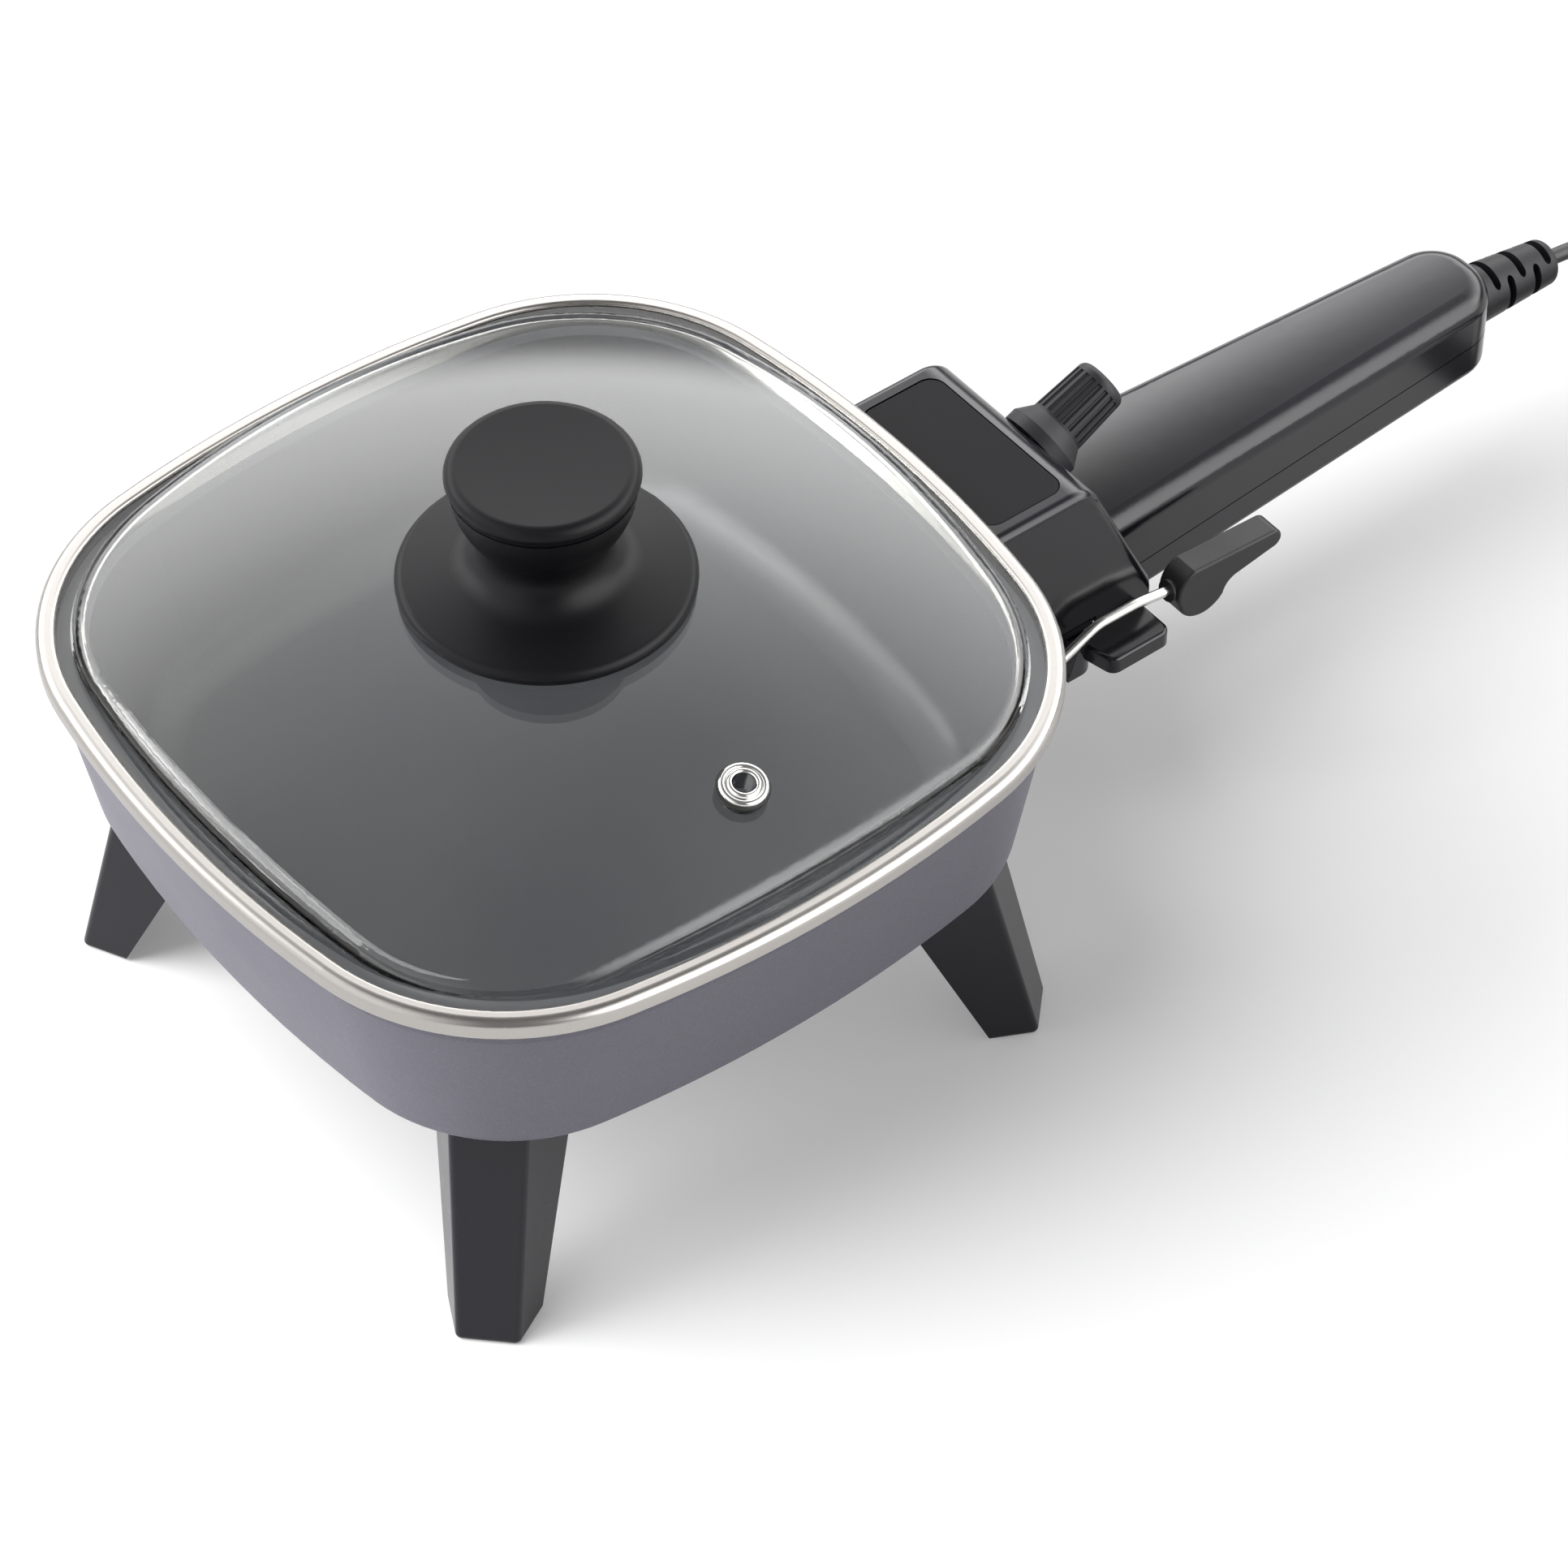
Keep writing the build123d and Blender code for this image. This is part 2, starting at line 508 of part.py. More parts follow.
with BuildPart() as pan_body:
    # outer skirt, open below
    with BuildSketch(level(BASE_Z)):
        rounded_square(FOOT)
    with BuildSketch(level(RIM_Z - CREASE_DROP)):
        rounded_square(RIM, CREASE_STEP)
    loft()
    with BuildSketch(level(RIM_Z - CREASE_DROP)):
        rounded_square(RIM)
    extrude(amount=CREASE_DROP)
    fillet(pan_body.faces().sort_by(Axis.Z)[0].edges(), BASE_ROUND)
    with BuildSketch(level(BASE_Z)):
        rounded_square(FOOT, SKIRT_WALL)
    with BuildSketch(level(RIM_Z - RIM_THICK)):
        rounded_square(RIM, SKIRT_WALL + CREASE_STEP)
    loft(mode=Mode.SUBTRACT)
    # bowl, pads for the legs, bosses for the tongue, ridge and lug for the element
    add(bowl_form(BOWL_WALL, FLOOR_THICK))
    with BuildSketch(level(LEG_TOP_Z)):
        with PolarLocations(LEG_SCREW_OUT, 4, start_angle=45):
            RectangleRounded(LEG_PAD, 2 * LEG_HEAD_FACE, LEG_PAD_ROUND)
    extrude(amount=FLOOR_Z - LEG_PAD_SINK - LEG_TOP_Z)
    with BuildSketch(level(TONGUE_TOP_Z, TONGUE_SCREW_X)):
        with GridLocations(0, 2 * TONGUE_SCREW_Y, 1, 2):
            Circle(BOSS_RADIUS)
    extrude(amount=FLOOR_Z - TONGUE_TOP_Z)
    with BuildSketch(level(PIN_Z - ELEMENT_RADIUS - RIDGE_WALL)):
        trace(element_line.line.moved(Location((-PAN_X, 0, 0))), 2 * (ELEMENT_RADIUS + RIDGE_WALL))
    extrude(amount=ELEMENT_RADIUS + RIDGE_WALL)
    with BuildSketch(across(MOUTH_HALF - BOWL_ROUND)):
        with Locations((0, (LUG_LOW_Z + LUG_HIGH_Z) / 2)):
            RectangleRounded(2 * LUG_HALF, LUG_HIGH_Z - LUG_LOW_Z, LUG_ROUND)
    extrude(amount=LUG_X - MOUTH_HALF + BOWL_ROUND)
    # cut-outs
    add(bowl_form(0, 0), mode=Mode.SUBTRACT)
    add(element_tube(ELEMENT_RADIUS + FIT_GAP), mode=Mode.SUBTRACT)
    with BuildSketch(across(PIN_ROOT_X)):
        with Locations((-PIN_Y, PIN_Z), (PIN_Y, PIN_Z)):
            Circle(PIN_RADIUS + FIT_GAP)
    extrude(amount=LUG_X - PIN_ROOT_X, mode=Mode.SUBTRACT)
    with BuildSketch(across(LUG_X)):
        with Locations((-PIN_Y, PIN_Z), (PIN_Y, PIN_Z)):
            Circle(BUSHING_RADIUS + FIT_GAP)
    extrude(amount=-BUSHING_SEAT, mode=Mode.SUBTRACT)
    with BuildSketch(across(LUG_X)):
        with Locations((0, PROBE_Z)):
            Circle(PROBE_RADIUS + PROBE_CLEARANCE)
    extrude(amount=-PROBE_DEPTH, mode=Mode.SUBTRACT)
    with BuildSketch(level(LEG_TOP_Z)):
        with PolarLocations(LEG_SCREW_OUT, 4, start_angle=45):
            Circle(SCREW_RADIUS + FIT_GAP)
    extrude(amount=FLOOR_Z - LEG_TOP_Z - BLIND_END, mode=Mode.SUBTRACT)
    with BuildSketch(level(TONGUE_TOP_Z, TONGUE_SCREW_X)):
        with GridLocations(0, 2 * TONGUE_SCREW_Y, 1, 2):
            Circle(SCREW_RADIUS + FIT_GAP)
    extrude(amount=FLOOR_Z - TONGUE_TOP_Z - BLIND_END, mode=Mode.SUBTRACT)
save(pan_body, "pan_body")

with BuildPart() as heating_element:
    add(element_tube(ELEMENT_RADIUS))
save(heating_element, "heating_element")

with BuildPart() as terminal_pins:
    with BuildSketch(across(PIN_ROOT_X)):
        with Locations((-PIN_Y, PIN_Z), (PIN_Y, PIN_Z)):
            Circle(PIN_RADIUS)
    extrude(amount=PIN_TIP_X - PIN_ROOT_X)
    tips = terminal_pins.faces().sort_by(Axis.X)[-2:]
    chamfer([edge for tip in tips for edge in tip.edges()], PIN_POINT)
save(terminal_pins, "terminal_pins")

with BuildPart() as pin_bushings:
    with BuildSketch(across(LUG_X - BUSHING_SEAT)):
        with Locations((-PIN_Y, PIN_Z), (PIN_Y, PIN_Z)):
            Circle(BUSHING_RADIUS)
            Circle(PIN_RADIUS + FIT_GAP, mode=Mode.SUBTRACT)
    extrude(amount=BUSHING_SEAT + BUSHING_PROUD)
save(pin_bushings, "pin_bushings")

# ------------------------------------------------------------------ legs


def leg_section(height, wall=0.0, reach=0.0):
    """A leg's section: a narrow outer face and two flanks that spread towards the pan's middle."""
    share = height / LEG_TOP_Z
    outside = LEG_FOOT_OUT + (LEG_HEAD_OUT - LEG_FOOT_OUT) * share - wall
    inside = outside + wall - LEG_FOOT_DEPTH - (LEG_HEAD_DEPTH - LEG_FOOT_DEPTH) * share - reach
    face = LEG_FOOT_FACE + (LEG_HEAD_FACE - LEG_FOOT_FACE) * share - 0.75 * wall
    back = face + (outside - inside) * tan(radians(LEG_FLANK))
    with BuildLine() as edge_line:
        Polyline((inside, -back), (outside, -face), (outside, face), (inside, back), close=True)
    make_face(edge_line.edges())


def make_leg(label, turn):
    """One splayed leg: a channel that opens towards the pan's middle, with a solid head and sole."""
    outward = Vector(1, 0, 0).rotate(Axis.Z, turn)

    def floor_plane(z):
        return Plane(origin=(PAN_X, 0, z), x_dir=outward, z_dir=(0, 0, 1))

    web_z = LEG_TOP_Z - LEG_WEB
    with BuildPart() as leg:
        for z in (0, LEG_TOP_Z):
            with BuildSketch(floor_plane(z)):
                leg_section(z)
        loft(ruled=True)
        uprights = leg.edges().filter_by(lambda edge: abs(edge.tangent_at(0.5).Z) > 0.5)
        fillet(uprights.sort_by(lambda edge: edge.center().dot(outward))[-2:], LEG_FACE_ROUND)
        fillet(leg.faces().sort_by(Axis.Z)[0].edges(), LEG_EDGE)
        for z in (LEG_SOLE, web_z):
            with BuildSketch(floor_plane(z)):
                leg_section(z, LEG_WALL, LEG_OPENING)
        loft(ruled=True, mode=Mode.SUBTRACT)
        with BuildSketch(floor_plane(web_z)):
            with Locations((LEG_SCREW_OUT, 0)):
                Circle(SCREW_RADIUS + FIT_GAP)
        extrude(amount=LEG_WEB, mode=Mode.SUBTRACT)
    save(leg, label)


for leg_label, leg_turn in (("leg_rear_left", 45), ("leg_front_left", 135),
                            ("leg_front_right", 225), ("leg_rear_right", 315)):
    make_leg(leg_label, leg_turn)

# ------------------------------------------------------------------ screws, tongue, bracket


def screw(plane, length, head=SCREW_HEAD, shank=SCREW_RADIUS, height=SCREW_HEAD_HEIGHT):
    """A screw whose rounded head seats on the plane and whose shank runs along its normal."""
    with BuildPart() as body:
        with BuildSketch(plane):
            Circle(head)
        extrude(amount=-height)
        fillet(body.edges().sort_by(lambda edge: plane.to_local_coords(edge.center()).Z)[0], 0.4 * height)
        with BuildSketch(plane):
            Circle(shank)
        extrude(amount=length)
        with BuildSketch(plane.offset(-height)):
            Rectangle(0.6, 1.3 * head)
            Rectangle(1.3 * head, 0.6)
        extrude(amount=height / 2, mode=Mode.SUBTRACT)
    return body.part


with BuildPart() as leg_screws:
    for turn in (45, 135, 225, 315):
        seat = Vector(LEG_SCREW_OUT, 0, 0).rotate(Axis.Z, turn)
        add(screw(level(LEG_TOP_Z - LEG_WEB, seat.X, seat.Y), LEG_WEB + FLOOR_Z - LEG_TOP_Z - SCREW_SHORT))
save(leg_screws, "leg_screws")



def tongue_outline(gap=0.0):
    """Plan of the tongue, or of the room that it needs, with its middle at X = 0."""
    with BuildSketch(Plane.XY, mode=Mode.PRIVATE) as plan:
        Rectangle(TONGUE_LENGTH + 2 * gap, 2 * (TONGUE_HALF + gap))
        fillet(plan.vertices().group_by(Axis.X)[-1], TONGUE_CORNER + gap)
        fillet(plan.vertices().group_by(Axis.X)[0], TONGUE_CORNER / 3)
    return plan.sketch


with BuildPart() as mounting_tongue:
    with BuildSketch(level(TONGUE_LOW_Z, (TONGUE_BACK_X + TONGUE_X) / 2)):
        add(tongue_outline())
    extrude(amount=TONGUE_THICK)
    fillet(mounting_tongue.faces().sort_by(Axis.Z)[0].edges(), TONGUE_EDGE)
    with BuildSketch(level(TONGUE_LOW_Z, TONGUE_SCREW_X)):
        with GridLocations(0, 2 * TONGUE_SCREW_Y, 1, 2):
            Circle(SCREW_HEAD + SCREW_CLEARANCE)
    extrude(amount=TONGUE_SCREW_SINK, mode=Mode.SUBTRACT)
    with BuildSketch(level(TONGUE_LOW_Z, TONGUE_SCREW_X)):
        with GridLocations(0, 2 * TONGUE_SCREW_Y, 1, 2):
            Circle(SCREW_RADIUS + FIT_GAP)
    extrude(amount=TONGUE_THICK, mode=Mode.SUBTRACT)
    # bore for the lever's cross-bar, countersunk where the wire turns in
    with BuildSketch(upright()):
        with Locations((LEVER_PIVOT_X, LEVER_PIVOT_Z)):
            Circle(WIRE_RADIUS + WIRE_CLEARANCE)
    extrude(amount=TONGUE_HALF, both=True, mode=Mode.SUBTRACT)
    # blind holes for the bracket's screws
    with BuildSketch(across(TONGUE_X)):
        with Locations((-BRACKET_SCREW_Y, BRACKET_SCREW_Z), (BRACKET_SCREW_Y, BRACKET_SCREW_Z)):
            Circle(SCREW_RADIUS + FIT_GAP)
    extrude(amount=-BRACKET_SCREW_LENGTH, mode=Mode.SUBTRACT)
    mouths = mounting_tongue.edges().filter_by(GeomType.CIRCLE)
    mouths = mouths.filter_by(lambda edge: abs(abs(edge.center().Y) - TONGUE_HALF) < 0.01)
    chamfer(mouths, BORE_MOUTH)
save(mounting_tongue, "mounting_tongue")

with BuildPart() as tongue_screws:
    for y in (-TONGUE_SCREW_Y, TONGUE_SCREW_Y):
        seat = level(TONGUE_LOW_Z + TONGUE_SCREW_SINK, TONGUE_SCREW_X, y)
        add(screw(seat, FLOOR_Z - TONGUE_LOW_Z - TONGUE_SCREW_SINK - SCREW_SHORT))
save(tongue_screws, "tongue_screws")


with BuildPart() as latch_bracket:
    # cap over the tongue's end, with two cheeks that lengthen towards their lower edge
    with BuildSketch(level(TONGUE_LOW_Z, BRACKET_X - TONGUE_CORNER)) as cap_plan:
        Rectangle(2 * TONGUE_CORNER, 2 * (TONGUE_HALF + CAP_CHEEK))
        fillet(cap_plan.vertices().group_by(Axis.X)[-1], CAP_WALL - 1)
    extrude(amount=TONGUE_THICK - SEAT_GAP)
    slant = radians(CAP_CHEEK_SLANT)
    split(bisect_by=along(TONGUE_X, 0, TONGUE_TOP_Z, (cos(slant), 0, -sin(slant))), keep=Keep.TOP)
    # thumb ledge beside the lever
    with BuildSketch(level(LEDGE_TOP_Z - LEDGE_THICK)) as ledge_plan:
        with BuildLine():
            Polyline(
                (TONGUE_X, LEDGE_ROOT - TONGUE_HALF),
                (LEDGE_X, -TONGUE_HALF),
                (LEDGE_X + LEDGE_SKEW, -TONGUE_HALF - LEDGE_PROUD),
                (LEDGE_X + LEDGE_LENGTH, -TONGUE_HALF - LEDGE_PROUD),
                (LEDGE_X + LEDGE_LENGTH, LEDGE_ROOT - TONGUE_HALF),
                close=True,
            )
        make_face()
        fillet(ledge_plan.vertices().sort_by(Axis.Y)[:2], LEDGE_CORNER)
    extrude(amount=LEDGE_THICK)
    ledge_top = latch_bracket.faces().filter_by(Axis.Z).filter_by_position(
        Axis.Z, LEDGE_TOP_Z - 0.01, LEDGE_TOP_Z + 0.01
    )
    round_edges = ledge_top.edges().filter_by(lambda edge: edge.center().Y < -TONGUE_HALF - CAP_CHEEK)
    fillet(round_edges, LEDGE_EDGE)
    with BuildSketch(level(TONGUE_LOW_Z, (TONGUE_BACK_X + TONGUE_X) / 2)):
        add(tongue_outline(SCREW_CLEARANCE))
    extrude(amount=TONGUE_THICK, mode=Mode.SUBTRACT)
    for sink, radius in ((BRACKET_SCREW_SINK, SCREW_HEAD + SCREW_CLEARANCE),
                         (CAP_WALL, SCREW_RADIUS + FIT_GAP)):
        with BuildSketch(across(BRACKET_X)):
            with Locations((-BRACKET_SCREW_Y, BRACKET_SCREW_Z), (BRACKET_SCREW_Y, BRACKET_SCREW_Z)):
                Circle(radius)
        extrude(amount=-sink, mode=Mode.SUBTRACT)
save(latch_bracket, "latch_bracket")

with BuildPart() as bracket_screws:
    for y in (-BRACKET_SCREW_Y, BRACKET_SCREW_Y):
        seat = along(BRACKET_X - BRACKET_SCREW_SINK, y, BRACKET_SCREW_Z, (-1, 0, 0))
        add(screw(seat, BRACKET_SCREW_LENGTH))
save(bracket_screws, "bracket_screws")

# ------------------------------------------------------------------ lid

with BuildPart() as lid_rim:
    with BuildSketch(level(RING_Z)):
        rounded_square(RING)
        rounded_square(RING, RING_WIDTH, mode=Mode.SUBTRACT)
    extrude(amount=RING_HEIGHT)
    top = lid_rim.faces().sort_by(Axis.Z)[-1]
    fillet(top.outer_wire().edges(), RING_BEAD)
    fillet(lid_rim.faces().sort_by(Axis.Z)[-1].inner_wires()[0].edges(), RING_BEAD / 2)
    fillet(lid_rim.faces().sort_by(Axis.Z)[0].outer_wire().edges(), RING_WALL / 2)
    with BuildSketch(level(RING_Z + RING_WALL)):
        rounded_square(RING, RING_WALL)
        rounded_square(RING, RING_WIDTH + 1, mode=Mode.SUBTRACT)
    extrude(amount=GLASS_THICK + 2 * FIT_GAP, mode=Mode.SUBTRACT)
save(lid_rim, "lid_rim")

with BuildPart() as lid_glass:
    with BuildSketch(level(GLASS_Z)):
        rounded_square(RING, RING_WALL + FIT_GAP)
    extrude(amount=GLASS_THICK)
    add(dome_form(SHOULDER_INSET, 0, SHOULDER_ROUND))
    add(dome_form(SHOULDER_INSET + GLASS_THICK, GLASS_THICK, SHOULDER_ROUND / 2), mode=Mode.SUBTRACT)
    with BuildSketch(level(DOME_TOP_Z)):
        Circle(KNOB_SCREW_RADIUS + WASHER_SLEEVE + FIT_GAP)
    extrude(amount=-2 * GLASS_THICK, mode=Mode.SUBTRACT)
    with BuildSketch(dome_plane(VENT_X, VENT_Y, 1)):
        Circle(VENT_TUBE + FIT_GAP)
    extrude(amount=-GLASS_THICK - 2, mode=Mode.SUBTRACT)
save(lid_glass, "lid_glass")

with BuildPart() as vent_gasket:
    with BuildSketch(dome_plane(VENT_X, VENT_Y)):
        Circle(GASKET_RADIUS)
        Circle(VENT_TUBE + FIT_GAP, mode=Mode.SUBTRACT)
    extrude(amount=GASKET_THICK)
save(vent_gasket, "vent_gasket")

vent_plane = dome_plane(VENT_X, VENT_Y)

with BuildPart() as vent_grommet:
    with BuildSketch(section_of(vent_plane)):
        with BuildLine():
            top_z = GASKET_THICK
            under_z = -GLASS_THICK - FIT_GAP
            Polyline(
                (VENT_HOLE, under_z - 0.8),
                (VENT_FLANGE - 0.8, under_z - 0.8),
                (VENT_FLANGE - 0.4, under_z - 0.4),
                (VENT_FLANGE - 0.4, under_z),
                (VENT_TUBE, under_z),
                (VENT_TUBE, top_z),
                (VENT_FLANGE, top_z),
                (VENT_FLANGE, top_z + 0.5),
            )
            ThreePointArc(
                (VENT_FLANGE, top_z + 0.5),
                (VENT_FLANGE - 0.9, top_z + 1.3),
                (VENT_TUBE + 0.5, top_z + 1.0),
            )
            Line((VENT_TUBE + 0.5, top_z + 1.0), (VENT_TUBE + 0.2, top_z + 1.5))
            ThreePointArc(
                (VENT_TUBE + 0.2, top_z + 1.5),
                (VENT_TUBE - 0.3, top_z + 1.8),
                (VENT_HOLE, top_z + 1.2),
            )
            Line((VENT_HOLE, top_z + 1.2), (VENT_HOLE, under_z - 0.8))
        make_face()
    revolve(axis=axis_of(vent_plane))
save(vent_grommet, "vent_grommet")

knob_plane = level(0)

with BuildPart() as knob_base:
    with BuildSketch(section_of(knob_plane)):
        with BuildLine():
            Polyline(
                (0, SEAM_Z),
                (0, DOME_TOP_Z + KNOB_SEAT),
                (KNOB_HUB, DOME_TOP_Z + KNOB_SEAT),
                (KNOB_HUB, DOME_TOP_Z + KNOB_EDGE),
                (KNOB_SKIRT, KNOB_LOW_Z + KNOB_EDGE / 2),
                (KNOB_SKIRT, KNOB_LOW_Z),
                (KNOB_RIM - 0.4, KNOB_LOW_Z),
            )
            slope = Line(
                (KNOB_NECK + KNOB_FLARE, KNOB_LOW_Z + KNOB_SLOPE),
                (KNOB_RIM - KNOB_EDGE / 2, KNOB_LOW_Z + KNOB_EDGE),
            )
            TangentArc(slope @ 1, (KNOB_RIM - 0.4, KNOB_LOW_Z), tangent=slope % 1)
            ThreePointArc(
                slope @ 0,
                (KNOB_NECK + KNOB_FLARE / 7, KNOB_LOW_Z + (KNOB_SLOPE + 2 * KNOB_WAIST) / 4),
                (KNOB_NECK, WAIST_Z),
            )
            ThreePointArc(
                (KNOB_NECK, WAIST_Z),
                (CAP_RADIUS - 2.2, WAIST_Z + KNOB_BELL / 2),
                (CAP_RADIUS - CAP_LIP, SEAM_Z),
            )
            Line((CAP_RADIUS - CAP_LIP, SEAM_Z), (0, SEAM_Z))
        make_face()
    revolve(axis=axis_of(knob_plane))
    with BuildSketch(level(SEAM_Z)):
        Circle(CAP_SPIGOT)
    extrude(amount=CAP_SEAM + CAP_HEIGHT / 2)
    with BuildSketch(level(DOME_TOP_Z)):
        Circle(KNOB_SCREW_RADIUS + FIT_GAP)
    extrude(amount=KNOB_SCREW_TIP_Z - DOME_TOP_Z, mode=Mode.SUBTRACT)
save(knob_base, "knob_base")

with BuildPart() as knob_cap:
    with BuildSketch(section_of(knob_plane)):
        with BuildLine():
            Polyline((0, CAP_TOP_Z - CAP_DISH), (0, CAP_LOW_Z), (CAP_RADIUS - CAP_LIP, CAP_LOW_Z))
            top = TangentArc(
                (0, CAP_TOP_Z - CAP_DISH), (CAP_RADIUS - CAP_EDGE, CAP_TOP_Z), tangent=(1, 0)
            )
            edge = TangentArc(top @ 1, (CAP_RADIUS, CAP_TOP_Z - CAP_EDGE), tangent=top % 1)
            Line(edge @ 1, (CAP_RADIUS - CAP_LIP, CAP_LOW_Z))
        make_face()
    revolve(axis=axis_of(knob_plane))
    with BuildSketch(level(CAP_LOW_Z)):
        Circle(CAP_SPIGOT + FIT_GAP)
    extrude(amount=CAP_HEIGHT / 2, mode=Mode.SUBTRACT)
save(knob_cap, "knob_cap")

with BuildPart() as knob_washer:
    with BuildSketch(level(WASHER_TOP_Z - WASHER_THICK)):
        Circle(WASHER_RADIUS)
    extrude(amount=WASHER_THICK)
    with BuildSketch(level(WASHER_TOP_Z)):
        Circle(KNOB_SCREW_RADIUS + WASHER_SLEEVE)
    extrude(amount=GLASS_THICK)
    with BuildSketch(level(WASHER_TOP_Z - WASHER_THICK)):
        Circle(KNOB_SCREW_RADIUS + FIT_GAP)
    extrude(amount=WASHER_THICK + GLASS_THICK, mode=Mode.SUBTRACT)
save(knob_washer, "knob_washer")

with BuildPart() as knob_screw:
    seat_z = WASHER_TOP_Z - WASHER_THICK
    add(screw(level(seat_z), KNOB_SCREW_TIP_Z - seat_z - 1, 2 * KNOB_SCREW_RADIUS, KNOB_SCREW_RADIUS))
save(knob_screw, "knob_screw")

# ------------------------------------------------------------------ control: housing and what it holds


def face_x(z, depth=0.0):
    """X of the housing's slanted face at height z, or of a face that lies deeper by depth."""
    return BOX_TOP_X + (BOX_TOP_Z - z) * tan(FACE_TILT) - depth / cos(FACE_TILT)


def box_half(z):
    """Half the housing's width at height z."""
    return BOX_FOOT_HALF + (BOX_TOP_HALF - BOX_FOOT_HALF) * (z - BOX_FOOT_Z) / (BOX_TOP_Z - BOX_FOOT_Z)


def box_section(z, wall=0.0):
    """The housing's level outline at height z."""
    with BuildSketch(Plane.XY, mode=Mode.PRIVATE) as plan:
        with Locations(((BOX_BACK_X + face_x(z, wall)) / 2, 0)):
            Rectangle(face_x(z, wall) - BOX_BACK_X, 2 * box_half(z) - 2 * wall)
    return plan.sketch


LEAD_END_X = HANDLE_END_X - RELIEF_SEAT + LEAD_SEAT
LEAD_END_Z = RELIEF_Z + RELIEF_SEAT * sin(radians(RELIEF_DROOP))


def housing_form(wall, low_z, high_z):
    """The housing's outer form, or the room inside its wall: a slanted front that ends in a heel."""
    with BuildPart() as form:
        for z in (low_z, high_z):
            with BuildSketch(level(z)):
                add(box_section(z, wall))
        loft(ruled=True)
        split(bisect_by=across(BOX_HEEL_X - wall), keep=Keep.BOTTOM)
    return form.part


def lead_wires(radius):
    """The two wires from the terminal block to the strain relief."""
    with BuildPart() as wires:
        for y in (-LEAD_Y, LEAD_Y):
            start = Vector(PAN_X + BLOCK_X + BLOCK_THICK - LEAD_SEAT, y, LEAD_Z)
            run = Vector(PAN_X + LEAD_END_X, y, LEAD_END_Z) - start
            with BuildSketch(Plane(origin=start, z_dir=run)):
                Circle(radius)
            extrude(amount=run.length)
    return wires.part


COVER_LOW_Z = BOX_FOOT_Z + BASE_PLATE_THICK + SEAT_GAP

with BuildPart() as control_cover:
    add(housing_form(0, BOX_FOOT_Z, BOX_TOP_Z))
    fillet(control_cover.edges().filter_by(Axis.Y).sort_by(Axis.X)[-2:].sort_by(Axis.Z)[-1], BOX_HEEL_ROUND)
    top = control_cover.faces().sort_by(Axis.Z)[-1]
    fillet(top.edges().filter_by(Axis.X), BOX_TOP_ROUND)
    front = control_cover.edges().filter_by(lambda edge: edge.center().X > PAN_X + BOX_TOP_X)
    fillet(front.filter_by(lambda edge: abs(edge.tangent_at(0.5).Z) > 0.3), BOX_EDGE_ROUND)
    add(housing_form(BOX_WALL, COVER_LOW_Z, BOX_TOP_Z - BOX_WALL), mode=Mode.SUBTRACT)
    # the base plate closes the underside and shows as a strip along the lower edge
    with BuildSketch(level(BOX_FOOT_Z, (BOX_BACK_X + BASE_PLATE_X + SEAT_GAP) / 2)):
        Rectangle(BASE_PLATE_X + SEAT_GAP - BOX_BACK_X, 2 * BOX_FOOT_HALF)
    extrude(amount=BASE_PLATE_THICK + SEAT_GAP, mode=Mode.SUBTRACT)
    with BuildSketch(level(BOX_FOOT_Z + BASE_PLATE_THICK, COVER_SCREW_X)):
        with GridLocations(0, 2 * COVER_SCREW_Y, 1, 2):
            Circle(COVER_POST)
    extrude(amount=COVER_POST_HEIGHT)
    with BuildSketch(level(BOX_FOOT_Z + BASE_PLATE_THICK, COVER_SCREW_X)):
        with GridLocations(0, 2 * COVER_SCREW_Y, 1, 2):
            Circle(SCREW_RADIUS + FIT_GAP)
    extrude(amount=COVER_POST_HEIGHT - BLIND_END, mode=Mode.SUBTRACT)
    # recess for the plate on top, holes for the dial's shaft and the two wires
    with BuildSketch(level(BOX_TOP_Z, PLATE_X)):
        RectangleRounded(PLATE_LENGTH + 2 * PLATE_GAP, 2 * (PLATE_HALF + PLATE_GAP), PLATE_CORNER)
    extrude(amount=-PLATE_THICK - PLATE_SINK, mode=Mode.SUBTRACT)
    with BuildSketch(dial_plane(1)):
        Circle(SHAFT_RADIUS + SHAFT_CLEARANCE)
    extrude(amount=-BOX_WALL - 2, mode=Mode.SUBTRACT)
    add(lead_wires(LEAD_HOLE), mode=Mode.SUBTRACT)
save(control_cover, "control_cover")

with BuildPart() as base_cover:
    with BuildSketch(level(BOX_FOOT_Z, (BOX_BACK_X + BASE_PLATE_X) / 2)) as base_plan:
        Rectangle(BASE_PLATE_X - BOX_BACK_X, 2 * BOX_FOOT_HALF)
        fillet(base_plan.vertices().group_by(Axis.X)[-1], BOX_EDGE_ROUND)
    extrude(amount=BASE_PLATE_THICK)
    for height, radius in ((FLAT_HEAD + 0.1, SCREW_HEAD + SCREW_CLEARANCE),
                           (BASE_PLATE_THICK, SCREW_RADIUS + FIT_GAP)):
        with BuildSketch(level(BOX_FOOT_Z, COVER_SCREW_X)):
            with GridLocations(0, 2 * COVER_SCREW_Y, 1, 2):
                Circle(radius)
        extrude(amount=height, mode=Mode.SUBTRACT)
save(base_cover, "base_cover")

with BuildPart() as cover_screws:
    for y in (-COVER_SCREW_Y, COVER_SCREW_Y):
        seat = level(BOX_FOOT_Z + FLAT_HEAD + 0.1, COVER_SCREW_X, y)
        add(screw(seat, COVER_POST_HEIGHT - SCREW_SHORT, height=FLAT_HEAD))
save(cover_screws, "cover_screws")

